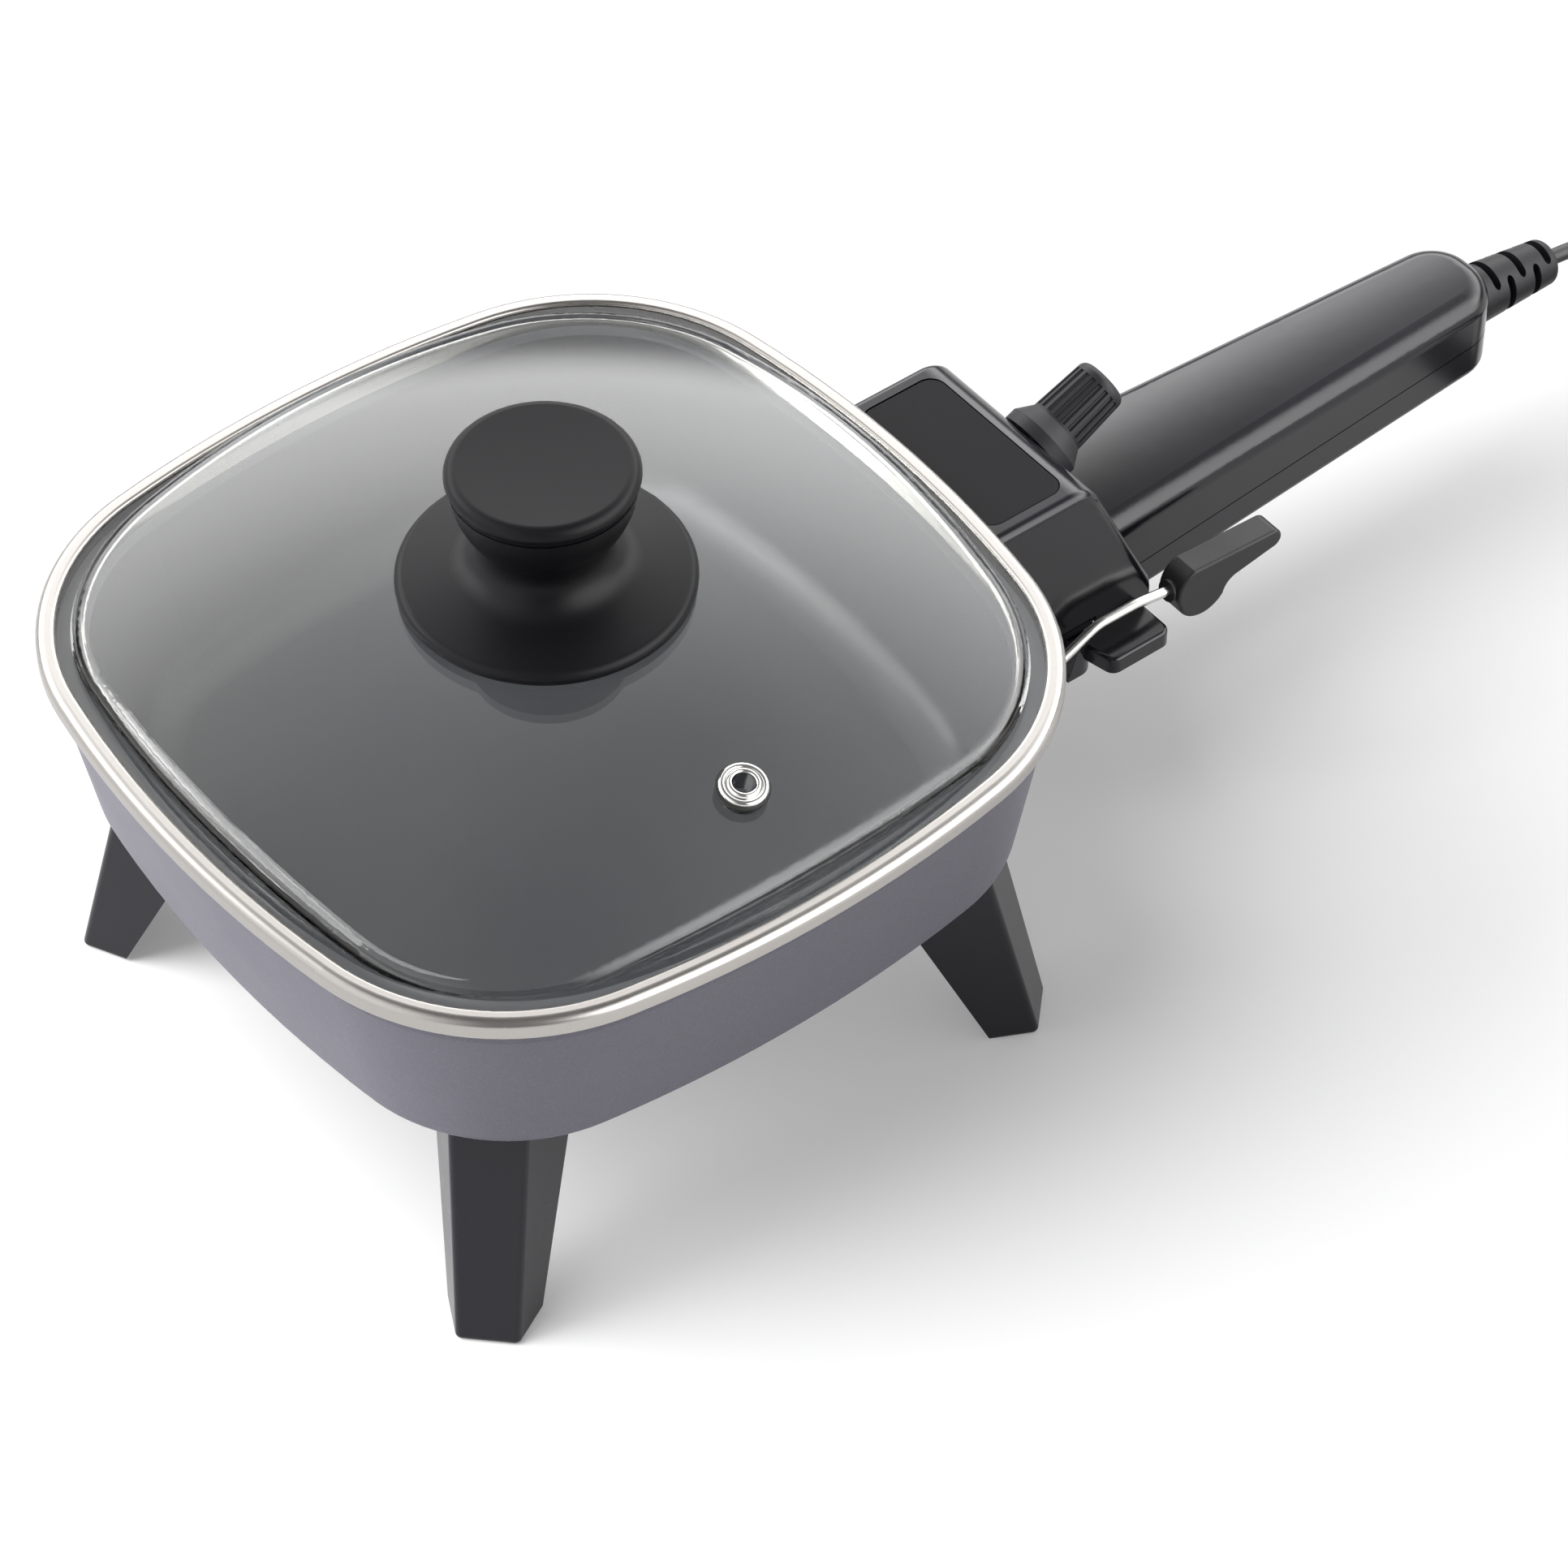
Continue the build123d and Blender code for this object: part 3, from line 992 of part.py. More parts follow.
with BuildPart() as top_plate:
    plate_low_z = BOX_TOP_Z - PLATE_SINK - PLATE_THICK
    with BuildSketch(level(plate_low_z, PLATE_X)):
        RectangleRounded(PLATE_LENGTH, 2 * PLATE_HALF, PLATE_CORNER - PLATE_GAP)
    extrude(amount=PLATE_THICK)
    fillet(top_plate.faces().sort_by(Axis.Z)[-1].edges(), PLATE_EDGE)
save(top_plate, "top_plate")

with BuildPart() as terminal_block:
    with BuildSketch(across(BLOCK_X)):
        with Locations((0, (BLOCK_LOW_Z + BLOCK_TOP_Z) / 2)):
            Rectangle(2 * BLOCK_HALF, BLOCK_TOP_Z - BLOCK_LOW_Z)
    extrude(amount=BLOCK_THICK)
    add(lead_wires(LEAD_RADIUS + FIT_GAP), mode=Mode.SUBTRACT)
save(terminal_block, "terminal_block")

with BuildPart() as terminal_clips:
    with BuildSketch(across(CLIP_BACK_X)):
        with Locations((-PIN_Y, PIN_Z), (PIN_Y, PIN_Z)):
            Circle(CLIP_RADIUS)
    extrude(amount=BLOCK_X - CLIP_BACK_X)
    with BuildSketch(across(CLIP_BACK_X)):
        with Locations((-PIN_Y, PIN_Z), (PIN_Y, PIN_Z)):
            Circle(PIN_RADIUS + CLIP_CLEARANCE)
    extrude(amount=PIN_TIP_X + SEAT_GAP - CLIP_BACK_X, mode=Mode.SUBTRACT)
save(terminal_clips, "terminal_clips")

with BuildPart() as thermostat:
    with BuildSketch(upright(STAT_HALF)):
        with Locations(((STAT_BACK_X + BLOCK_X) / 2, (STAT_LOW_Z + STAT_TOP_Z) / 2)):
            Rectangle(BLOCK_X - STAT_BACK_X, STAT_TOP_Z - STAT_LOW_Z)
    extrude(amount=2 * STAT_HALF)
    split(bisect_by=dial_plane(-STAT_DEPTH), keep=Keep.BOTTOM)
    with BuildSketch(dial_plane(-STAT_DEPTH)):
        Circle(STAT_NECK)
    extrude(amount=STAT_DEPTH - BOX_WALL)
    with BuildSketch(dial_plane(-SHAFT_LENGTH - SEAT_GAP)):
        Circle(SHAFT_RADIUS + SHAFT_CLEARANCE)
    extrude(amount=SHAFT_LENGTH, mode=Mode.SUBTRACT)
    with BuildSketch(across(STAT_BACK_X)):
        with Locations((0, PROBE_Z)):
            Circle(PROBE_RADIUS + FIT_GAP)
    extrude(amount=PROBE_SEAT, mode=Mode.SUBTRACT)
save(thermostat, "thermostat")

with BuildPart() as temperature_probe:
    with BuildSketch(across(PROBE_TIP_X)):
        with Locations((0, PROBE_Z)):
            Circle(PROBE_RADIUS)
    extrude(amount=STAT_BACK_X + PROBE_SEAT - PROBE_TIP_X)
    fillet(temperature_probe.edges().sort_by(Axis.X)[0], 2.0)
save(temperature_probe, "temperature_probe")

# ------------------------------------------------------------------ control: dial

with BuildPart() as dial_shaft:
    with BuildSketch(dial_plane(-SHAFT_LENGTH)):
        Circle(SHAFT_RADIUS)
    extrude(amount=SHAFT_LENGTH + SHAFT_REACH)
save(dial_shaft, "dial_shaft")

with BuildPart() as dial_knob:
    with BuildSketch(section_of(dial_plane(0))):
        with BuildLine():
            Polyline(
                (0, DIAL_LENGTH),
                (0, DIAL_GAP),
                (DIAL_COLLAR, DIAL_GAP),
                (DIAL_COLLAR, DIAL_BAND),
                (DIAL_GRIP, DIAL_CONE),
            )
            side = Line((DIAL_GRIP, DIAL_CONE), (DIAL_TIP, DIAL_LENGTH - DIAL_TIP_ROUND))
            tip = TangentArc(side @ 1, (DIAL_TIP - DIAL_TIP_ROUND, DIAL_LENGTH), tangent=side % 1)
            Line(tip @ 1, (0, DIAL_LENGTH))
        make_face()
    revolve(axis=axis_of(dial_plane(0)))
    # flutes follow the tapered grip, from just above the cone to a plain rim at the tip
    grip_foot = dial_plane(DIAL_CONE)
    flute_length = DIAL_LENGTH - DIAL_CONE - DIAL_FLUTE_RADIUS - DIAL_RIM
    lean = (DIAL_GRIP - DIAL_TIP) / (DIAL_LENGTH - DIAL_TIP_ROUND - DIAL_CONE)
    for index in range(DIAL_FLUTES):
        outward = grip_foot.x_dir.rotate(axis_of(Plane(origin=(0, 0, 0), z_dir=grip_foot.z_dir)),
                                         360 * index / DIAL_FLUTES)
        upward = (grip_foot.z_dir - outward * lean).normalized()
        foot = grip_foot.origin + outward * DIAL_GRIP + upward * DIAL_FLUTE_RADIUS
        with BuildSketch(Plane(origin=foot, z_dir=upward)):
            Circle(DIAL_FLUTE_RADIUS)
        extrude(amount=flute_length, mode=Mode.SUBTRACT)
    with BuildSketch(dial_plane(0)):
        Circle(SHAFT_RADIUS)
    extrude(amount=SHAFT_REACH, mode=Mode.SUBTRACT)
save(dial_knob, "dial_knob")

# ------------------------------------------------------------------ handle


def handle_half_width(x):
    """Half the handle's width at x."""
    return HANDLE_HALF - HANDLE_TAPER * (x - HANDLE_GAUGE_X)


def handle_form(inset):
    """The handle's outer form, or the form inside a wall: a crowned, tapered bar with a round end."""
    end_x = HANDLE_END_X - inset
    side = HANDLE_HALF + 4
    with BuildPart() as form:
        for x in (HANDLE_ROOT_X, end_x):
            top_z = HANDLE_TOP_Z - HANDLE_FALL * (x - HANDLE_GAUGE_X) - inset
            low_z = HANDLE_BOTTOM_Z + HANDLE_RISE * (x - HANDLE_GAUGE_X) + inset
            side_z = top_z - HANDLE_CROWN + (HANDLE_CROWN**2 - side**2) ** 0.5
            with BuildSketch(across(x)):
                with BuildLine():
                    Polyline(
                        (-side, side_z),
                        (-side, low_z),
                        (side, low_z),
                        (side, side_z),
                    )
                    ThreePointArc((side, side_z), (0, top_z), (-side, side_z))
                make_face()
        loft(ruled=True)
        with BuildSketch(level(0)) as plan:
            root = handle_half_width(HANDLE_ROOT_X) - inset
            end = handle_half_width(HANDLE_END_X) - inset
            with BuildLine():
                Polyline(
                    (HANDLE_ROOT_X - 1, -root),
                    (end_x, -end),
                    (end_x, end),
                    (HANDLE_ROOT_X - 1, root),
                    close=True,
                )
            make_face()
            fillet(plan.vertices().group_by(Axis.X)[-1], HANDLE_END_ROUND - inset)
        extrude(amount=HANDLE_TOP_Z + 10, mode=Mode.INTERSECT)
        for index, radius in ((-1, HANDLE_TOP_ROUND), (0, HANDLE_LOW_ROUND)):
            rim = form.faces().sort_by(Axis.Z)[index].edges()
            fillet(rim.sort_by(Axis.X)[1:], radius - inset)
    return form.part


PARTING_NORMAL = (-sin(radians(PARTING_RISE)), 0, cos(radians(PARTING_RISE)))
PARTING_PLANE = along(HANDLE_GAUGE_X, 0, PARTING_Z, PARTING_NORMAL)
RELIEF_AXIS = (cos(radians(RELIEF_DROOP)), 0, -sin(radians(RELIEF_DROOP)))
RELIEF_PLANE = along(HANDLE_END_X, 0, RELIEF_Z, RELIEF_AXIS)

# everything that is cut out of both halves: the room inside, the end's bore and the screws' holes
with BuildPart() as handle_cuts:
    add(handle_form(HANDLE_WALL))
    with BuildSketch(level(HANDLE_BOTTOM_Z)):
        with Locations(*[(HANDLE_GAUGE_X + x, 0) for x in HANDLE_SCREWS]):
            Circle(POST_RADIUS)
    extrude(amount=HANDLE_TOP_Z - HANDLE_BOTTOM_Z, mode=Mode.SUBTRACT)
    with BuildSketch(RELIEF_PLANE.offset(-RELIEF_SEAT)):
        Circle(RELIEF_ROOT + FIT_GAP)
    extrude(amount=2 * RELIEF_SEAT)
    with BuildSketch(level(SCREW_SEAT_Z)):
        with Locations(*[(HANDLE_GAUGE_X + x, 0) for x in HANDLE_SCREWS]):
            Circle(SCREW_RADIUS + FIT_GAP)
    extrude(amount=HANDLE_SCREW_LENGTH + BLIND_END)

with BuildPart() as handle_upper:
    add(handle_form(0))
    split(bisect_by=PARTING_PLANE, keep=Keep.TOP)
    split(bisect_by=FACE_PLANE, keep=Keep.TOP)
    add(handle_cuts.part, mode=Mode.SUBTRACT)
save(handle_upper, "handle_upper")

with BuildPart() as handle_lip:
    add(handle_form(LIP))
    split(bisect_by=PARTING_PLANE, keep=Keep.BOTTOM)

with BuildPart() as handle_lower:
    add(handle_form(0))
    split(bisect_by=PARTING_PLANE.offset(-PARTING_GAP), keep=Keep.BOTTOM)
    add(handle_lip.part)
    split(bisect_by=FACE_PLANE, keep=Keep.TOP)
    add(handle_cuts.part, mode=Mode.SUBTRACT)
    with BuildSketch(level(HANDLE_BOTTOM_Z)):
        with Locations(*[(HANDLE_GAUGE_X + x, 0) for x in HANDLE_SCREWS]):
            Circle(SCREW_HEAD + SCREW_CLEARANCE)
    extrude(amount=SCREW_SEAT_Z - HANDLE_BOTTOM_Z, mode=Mode.SUBTRACT)
save(handle_lower, "handle_lower")

with BuildPart() as handle_screws:
    for x in HANDLE_SCREWS:
        add(screw(level(SCREW_SEAT_Z, HANDLE_GAUGE_X + x), HANDLE_SCREW_LENGTH))
save(handle_screws, "handle_screws")

# ------------------------------------------------------------------ strain relief and wires

with BuildPart() as handle_leads:
    add(lead_wires(LEAD_RADIUS))
save(handle_leads, "handle_leads")

with BuildPart() as strain_relief:
    with BuildSketch(section_of(RELIEF_PLANE)):
        with BuildLine():
            round_start = RELIEF_LENGTH - RELIEF_TIP_ROUND
            Polyline(
                (0, RELIEF_LENGTH),
                (0, -RELIEF_SEAT),
                (RELIEF_ROOT, -RELIEF_SEAT),
                (RELIEF_ROOT, 0),
                (RELIEF_TIP, round_start),
            )
            RadiusArc(
                (RELIEF_TIP, round_start),
                (RELIEF_TIP - RELIEF_TIP_ROUND, RELIEF_LENGTH),
                -RELIEF_TIP_ROUND,
            )
            Line((RELIEF_TIP - RELIEF_TIP_ROUND, RELIEF_LENGTH), (0, RELIEF_LENGTH))
        make_face()
    revolve(axis=axis_of(RELIEF_PLANE))
    # slots in pairs, above and below, then left and right
    up = RELIEF_PLANE.y_dir if abs(RELIEF_PLANE.y_dir.Z) > 0.5 else RELIEF_PLANE.x_dir
    side = Vector(0, 1, 0)
    for row in range(RELIEF_SLOTS):
        height = RELIEF_FIRST + row * RELIEF_PITCH
        radius = RELIEF_ROOT + (RELIEF_TIP - RELIEF_ROOT) * height / RELIEF_LENGTH
        outward, lengthwise = (up, side) if row % 2 == 0 else (side, up)
        for sign in (-1, 1):
            floor = RELIEF_PLANE.origin + RELIEF_PLANE.z_dir * height + outward * sign * RELIEF_CORE
            with BuildSketch(Plane(origin=floor, x_dir=lengthwise, z_dir=outward * sign)):
                SlotOverall(2 * (radius - RELIEF_BRIDGE), RELIEF_SLOT)
            extrude(amount=RELIEF_ROOT, mode=Mode.SUBTRACT)
    add(lead_wires(LEAD_RADIUS + FIT_GAP), mode=Mode.SUBTRACT)
    with BuildSketch(RELIEF_PLANE.offset(RELIEF_LENGTH)):
        Circle(CORD_RADIUS + FIT_GAP)
    extrude(amount=-CORD_SEAT, mode=Mode.SUBTRACT)
save(strain_relief, "strain_relief")

# ------------------------------------------------------------------ lever

def lever_point(point):
    """A point of the lever's arm, given in X and Z from its pivot."""
    return Vector(PAN_X + LEVER_PIVOT_X + point[0], LEVER_Y, LEVER_PIVOT_Z + point[1])


lever_tip = lever_point(LEVER_TIP)
lever_end = lever_point((0, 0)) + Vector(0, LEVER_END_Y - LEVER_Y, 0)
arm_plane = Plane(origin=lever_tip, x_dir=(0, 1, 0), z_dir=lever_point(LEVER_BEND) - lever_tip)

with BuildLine() as lever_line:
    FilletPolyline(
        lever_tip,
        lever_point(LEVER_BEND),
        lever_point(LEVER_KNEE),
        lever_point((0, 0)),
        lever_end,
        radius=[LEVER_ARM_BEND, LEVER_KNEE_BEND, LEVER_CORNER_BEND],
    )

with BuildPart() as lever_wire:
    with BuildSketch(arm_plane):
        Circle(WIRE_RADIUS)
    sweep(path=lever_line.line)
save(lever_wire, "lever_wire")

with BuildPart() as lever_clip:
    with BuildSketch(upright(TONGUE_HALF + SEAT_GAP)):
        with Locations((LEVER_PIVOT_X, LEVER_PIVOT_Z)):
            Circle(CLIP_RING_RADIUS)
            Circle(WIRE_RADIUS + FIT_GAP, mode=Mode.SUBTRACT)
    extrude(amount=-CLIP_RING_THICK)
    fillet(lever_clip.faces().sort_by(Axis.Y)[-1].outer_wire().edges(), 0.5)
save(lever_clip, "lever_clip")

grip_plane = Plane(
    origin=(lever_tip.X, LEVER_Y + GRIP_THICK / 2, lever_tip.Z), x_dir=(1, 0, 0), z_dir=(0, -1, 0)
)

with BuildPart() as lever_grip:
    with BuildSketch(grip_plane):
        with BuildLine():
            Line((-3.4, 6.8), (19.8, 5.3))
            ThreePointArc((19.8, 5.3), (22.0, 2.9), (20.2, 0.5))
            Line((20.2, 0.5), (9.5, -1.3))
            ThreePointArc((9.5, -1.3), (6.9, -2.4), (5.5, -4.9))
            ThreePointArc((5.5, -4.9), (-0.2, -7.9), (-7.4, -2.0))
            ThreePointArc((-7.4, -2.0), (-7.1, 4.1), (-3.4, 6.8))
        make_face()
    extrude(amount=GRIP_THICK)
    sides = lever_grip.faces().filter_by(Axis.Y)
    fillet([edge for face in sides for edge in face.edges()], GRIP_EDGE)
    with BuildSketch(arm_plane.offset(GRIP_COLLAR_LENGTH)):
        Circle(GRIP_COLLAR)
    extrude(amount=-GRIP_COLLAR_LENGTH / 2)
    with BuildSketch(arm_plane):
        Circle(WIRE_RADIUS + FIT_GAP)
    extrude(amount=LEVER_TIP[0], mode=Mode.SUBTRACT)
save(lever_grip, "lever_grip")

# ------------------------------------------------------------------ cord and plug


def tube_radii(points):
    """The radius of each corner of a cord's route: as large as its two runs allow."""
    runs = [Vector(*b) - Vector(*a) for a, b in zip(points, points[1:])]
    radii = []
    for before, after in zip(runs, runs[1:]):
        turn = radians(before.get_angle(after))
        radii.append(0.45 * min(before.length, after.length) / tan(turn / 2))
    return radii


def cord_tube(points, label):
    """A plain tube along straight runs joined by tangent arcs."""
    radii = tube_radii(points)
    with BuildLine() as route:
        FilletPolyline(*points, radius=radii)
    first_run = Vector(*points[1]) - Vector(*points[0])
    with BuildPart() as tube:
        with BuildSketch(Plane(origin=points[0], z_dir=first_run)):
            Circle(CORD_RADIUS)
        sweep(path=route.line)
    length = route.wire().length
    print(label, "length", round(length, 1), "radii", [round(radius, 1) for radius in radii])
    print("volume over section times length", tube.part.volume / (pi * CORD_RADIUS**2 * length))
    save(tube, label)


def laid(*points):
    """Points of the cord's route, given from the pan's centre."""
    return [(PAN_X + x, y, z) for x, y, z in points]


tip = RELIEF_PLANE.offset(RELIEF_LENGTH - CORD_SEAT).origin
leaving = tip + Vector(*RELIEF_AXIS) * (12 + CORD_SEAT)
cord_tube([tuple(tip), tuple(leaving)] + laid(*CORD_ROUTE), "cord_lead")

with BuildPart() as cord_coil:
    with BuildSketch(Plane(origin=(PAN_X + COIL_X, COIL_Y, 0), x_dir=(1, 0, 0), z_dir=(0, -1, 0))):
        with Locations((COIL_MID, COIL_HEIGHT / 2)):
            RectangleRounded(2 * COIL_HALF_WIDTH, COIL_HEIGHT, CORD_RADIUS - 0.1)
    revolve(axis=axis_of(level(0, COIL_X, COIL_Y)))
save(cord_coil, "cord_coil")

cord_tube(laid(*TAIL_ROUTE, PLUG_ENTRY), "cord_tail")

plug_plane = along(*PLUG_ENTRY, (0, -1, 0), x_dir=(1, 0, 0))

with BuildPart() as plug_body:
    with BuildSketch(plug_plane):
        Circle(PLUG_NECK)
    with BuildSketch(plug_plane.offset(PLUG_NECK_LENGTH)):
        RectangleRounded(1.5 * PLUG_HALF_WIDTH, 1.5 * PLUG_HALF_HEIGHT, 4)
    loft()
    with BuildSketch(plug_plane.offset(PLUG_NECK_LENGTH)):
        RectangleRounded(1.5 * PLUG_HALF_WIDTH, 1.5 * PLUG_HALF_HEIGHT, 4)
    with BuildSketch(plug_plane.offset(PLUG_NECK_LENGTH + PLUG_LENGTH)):
        RectangleRounded(2 * PLUG_HALF_WIDTH, 2 * PLUG_HALF_HEIGHT, 4.5)
    loft()
    fillet(plug_body.faces().sort_by(Axis.Y)[0].edges(), 1.2)
save(plug_body, "plug_body")

with BuildPart() as plug_blades:
    with BuildSketch(plug_plane.offset(PLUG_NECK_LENGTH + PLUG_LENGTH)):
        with GridLocations(BLADE_SPACING, 0, 2, 1):
            RectangleRounded(BLADE_THICK, BLADE_WIDTH, 0.5)
    extrude(amount=BLADE_LENGTH)
save(plug_blades, "plug_blades")
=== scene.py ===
# %% [markdown]
# # An electric skillet, dressed for the studio
# A small electric skillet stands on four splayed legs. It has a cast pan with a metallic coat
# outside and a dark non-stick coat inside, a glass lid held in a rolled steel ring, and a black
# control with a dial, a handle and a cord. The solids come from the CAD frame and already have
# their true shapes, so most of the work here is light, finish and the soft cord.

# %% Load the frame
import math

import bpy
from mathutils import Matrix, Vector


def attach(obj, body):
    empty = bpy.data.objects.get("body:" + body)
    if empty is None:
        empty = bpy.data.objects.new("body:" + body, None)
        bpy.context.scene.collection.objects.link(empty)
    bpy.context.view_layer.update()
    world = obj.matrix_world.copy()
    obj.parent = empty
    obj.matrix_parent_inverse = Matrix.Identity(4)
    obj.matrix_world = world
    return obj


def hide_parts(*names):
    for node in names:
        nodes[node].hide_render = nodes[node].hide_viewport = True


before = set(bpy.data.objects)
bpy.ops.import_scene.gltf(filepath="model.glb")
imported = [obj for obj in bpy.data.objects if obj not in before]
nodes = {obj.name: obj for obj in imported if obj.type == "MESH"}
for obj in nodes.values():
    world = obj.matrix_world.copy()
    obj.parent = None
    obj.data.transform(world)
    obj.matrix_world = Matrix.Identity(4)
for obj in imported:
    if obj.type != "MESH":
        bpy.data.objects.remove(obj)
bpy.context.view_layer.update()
bpy.ops.object.select_all(action="DESELECT")
MM = 0.001
PAN_CENTRE_X = -96.134 * MM     # the middle of the pan, measured from the frame's origin

# %% [markdown]
# ## The camera
# The view looks down at the lid from the front left. A short lens close by would spread the lines
# along the handle, so a long lens stands far away and keeps them nearly parallel. The camera comes
# first, because it decides which shapes and which reflections matter.

# %% Place the camera
CAMERA_PLACE = Vector((-0.6129, -0.7404, 1.0096))
CAMERA_TARGET = Vector((-0.0655, -0.0399, 0.0717))
camera_turn = (CAMERA_TARGET - CAMERA_PLACE).to_track_quat("-Z", "Y").to_euler()
bpy.ops.object.camera_add(location=CAMERA_PLACE, rotation=camera_turn)
camera = bpy.context.object
camera.name = "studio_camera"
camera.data.lens = 141.56
camera.data.sensor_width = 36
camera.data.clip_start = 0.05
camera.data.clip_end = 20
bpy.context.scene.camera = camera
print("camera distance", round((CAMERA_TARGET - CAMERA_PLACE).length, 3))

# %% [markdown]
# ## The route of the cord
# A mains lead is one fixed length of round flex. It leaves the strain relief in line with it,
# bends down under its own weight, and is then wound into a neat coil that ends at the plug. The
# bend and the tail are a few listed points. The coil could be listed as well, but a turn is
# a circle whose radius shrinks, so a formula gives its points: two turns inwards on the table, one
# turn that climbs, and two turns outwards on top of the first two.

# %% Work out the points along the cord
COIL_CENTRE = Vector((308.0, -45.0))
COIL_OUTER = 26.0               # radius of the cord's line in the outermost turn, in mm
COIL_INNER = 18.0
COIL_LOW = 2.05                 # height of the cord's line in the turns on the table
COIL_HIGH = 6.0                 # and in the turns on top of them
COIL_TURNS = 5
POINTS_PER_TURN = 16

lead_points = [
    (283.920, 0, 49.870),
    (298.863, 0, 48.562),
    (313, -1.5, 43),
    (325, -6, 32),
    (332.5, -13, 19),
    (335, -23, 8),
    (334.6, -34, 2.6),
]
tail_points = [(334.2, -53, 6.9), (334.5, -61, 8), (334.5, -70, 8)]


def coil_point(turn):
    """A point of the coil, in mm: inwards on the floor, up, and outwards on top."""
    if turn < 2:
        radius = COIL_OUTER + (COIL_INNER - COIL_OUTER) * turn / 2
        height = COIL_LOW
    elif turn < 3:
        rise = turn - 2
        radius = COIL_INNER
        height = COIL_LOW + (COIL_HIGH - COIL_LOW) * math.sqrt(1 - (1 - rise) ** 2)
    else:
        radius = COIL_INNER + (COIL_OUTER - COIL_INNER) * (turn - 3) / 2
        height = COIL_HIGH
    # The spline runs inside its control points, so they lie a little further out.
    radius /= math.cos(math.pi / POINTS_PER_TURN)
    angle = -2 * math.pi * turn
    return (
        COIL_CENTRE.x + radius * math.cos(angle),
        COIL_CENTRE.y + radius * math.sin(angle),
        height,
    )


coil_steps = range(COIL_TURNS * POINTS_PER_TURN + 1)
coil_points = [coil_point(step / POINTS_PER_TURN) for step in coil_steps]
route = lead_points + coil_points + tail_points
print("cord points", len(route))

# %% [markdown]
# ## The cord itself
# One smooth curve follows the whole route, and a round bevel gives it its thickness. A Bezier
# curve would need handles at every point. A NURBS spline of order 3 needs none, and it stays
# close to its control points without kinks. The bevel is as wide as each point's radius, a touch
# slimmer than the real flex, so that neighbouring turns of the coil stay apart.

# %% Lay the cord
CORD_RADIUS = 2.0 * MM
CORD_SLIMMING = 0.97

cord_data = bpy.data.curves.new("cord", "CURVE")
cord_data.dimensions = "3D"
cord_data.resolution_u = 6
cord_data.bevel_depth = CORD_SLIMMING
cord_data.bevel_resolution = 5
cord_data.use_fill_caps = True
cord_spline = cord_data.splines.new("NURBS")
cord_spline.points.add(len(route) - 1)
for control, (x, y, z) in zip(cord_spline.points, route):
    control.co = (x * MM + PAN_CENTRE_X, y * MM, z * MM, 1)
    control.radius = CORD_RADIUS
cord_spline.order_u = 3
cord_spline.use_endpoint_u = True
cord = bpy.data.objects.new("power_cord", cord_data)
bpy.context.scene.collection.objects.link(cord)
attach(cord, "control")
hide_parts("cord_lead", "cord_coil", "cord_tail")
print("spline length", round(cord_spline.calc_length(), 3))

# %% [markdown]
# ## Small effects that several finishes share
# Moulded plastic, rubber and coated metal all have a fine grain, surfaces that are handled have
# faint smudges, and metallic paint holds flakes. Each effect could be built again in every
# material. A node group with named inputs is built once, and each finish places it with its own
# size and strength. These helpers start a group and add the two nodes that most of them need.

# %% Start a node group


def start_group(name, inputs, outputs):
    """An empty shader node group: inputs are (label, kind, value), outputs (label, kind)."""
    group = bpy.data.node_groups.new(name, "ShaderNodeTree")
    for label, kind, value in inputs:
        socket = group.interface.new_socket(label, in_out="INPUT", socket_type=kind)
        socket.default_value = value
    for label, kind in outputs:
        group.interface.new_socket(label, in_out="OUTPUT", socket_type=kind)
    entry = group.nodes.new("NodeGroupInput")
    leave = group.nodes.new("NodeGroupOutput")
    return group, entry, leave


def math_node(tree, operation, *values):
    """The result of a math node whose inputs are numbers or sockets to link."""
    node = tree.nodes.new("ShaderNodeMath")
    node.operation = operation
    for socket, value in zip(node.inputs, values):
        if isinstance(value, (int, float)):
            socket.default_value = value
        else:
            tree.links.new(value, socket)
    return node.outputs[0]


def noise_node(tree, scale, detail=2.0, roughness=0.5):
    """Noise on Object coordinates, with a socket for its scale."""
    place = tree.nodes.new("ShaderNodeTexCoord")
    noise = tree.nodes.new("ShaderNodeTexNoise")
    noise.inputs["Detail"].default_value = detail
    noise.inputs["Roughness"].default_value = roughness
    tree.links.new(place.outputs["Object"], noise.inputs["Vector"])
    tree.links.new(scale, noise.inputs["Scale"])
    return noise.outputs["Fac"]


print("helpers start_group, math_node, noise_node")

# %% [markdown]
# ## Fine grain
# A moulded or sprayed surface is never quite even. A painted texture could show that, but it would
# need unwrapped faces, and noise on Object coordinates needs none. The tone and the normal both
# vary with the same noise, so that the light and the dark spots sit on the bumps and in the dips.

# %% Build the grain group
GRAIN_HEIGHT = 0.05 * MM


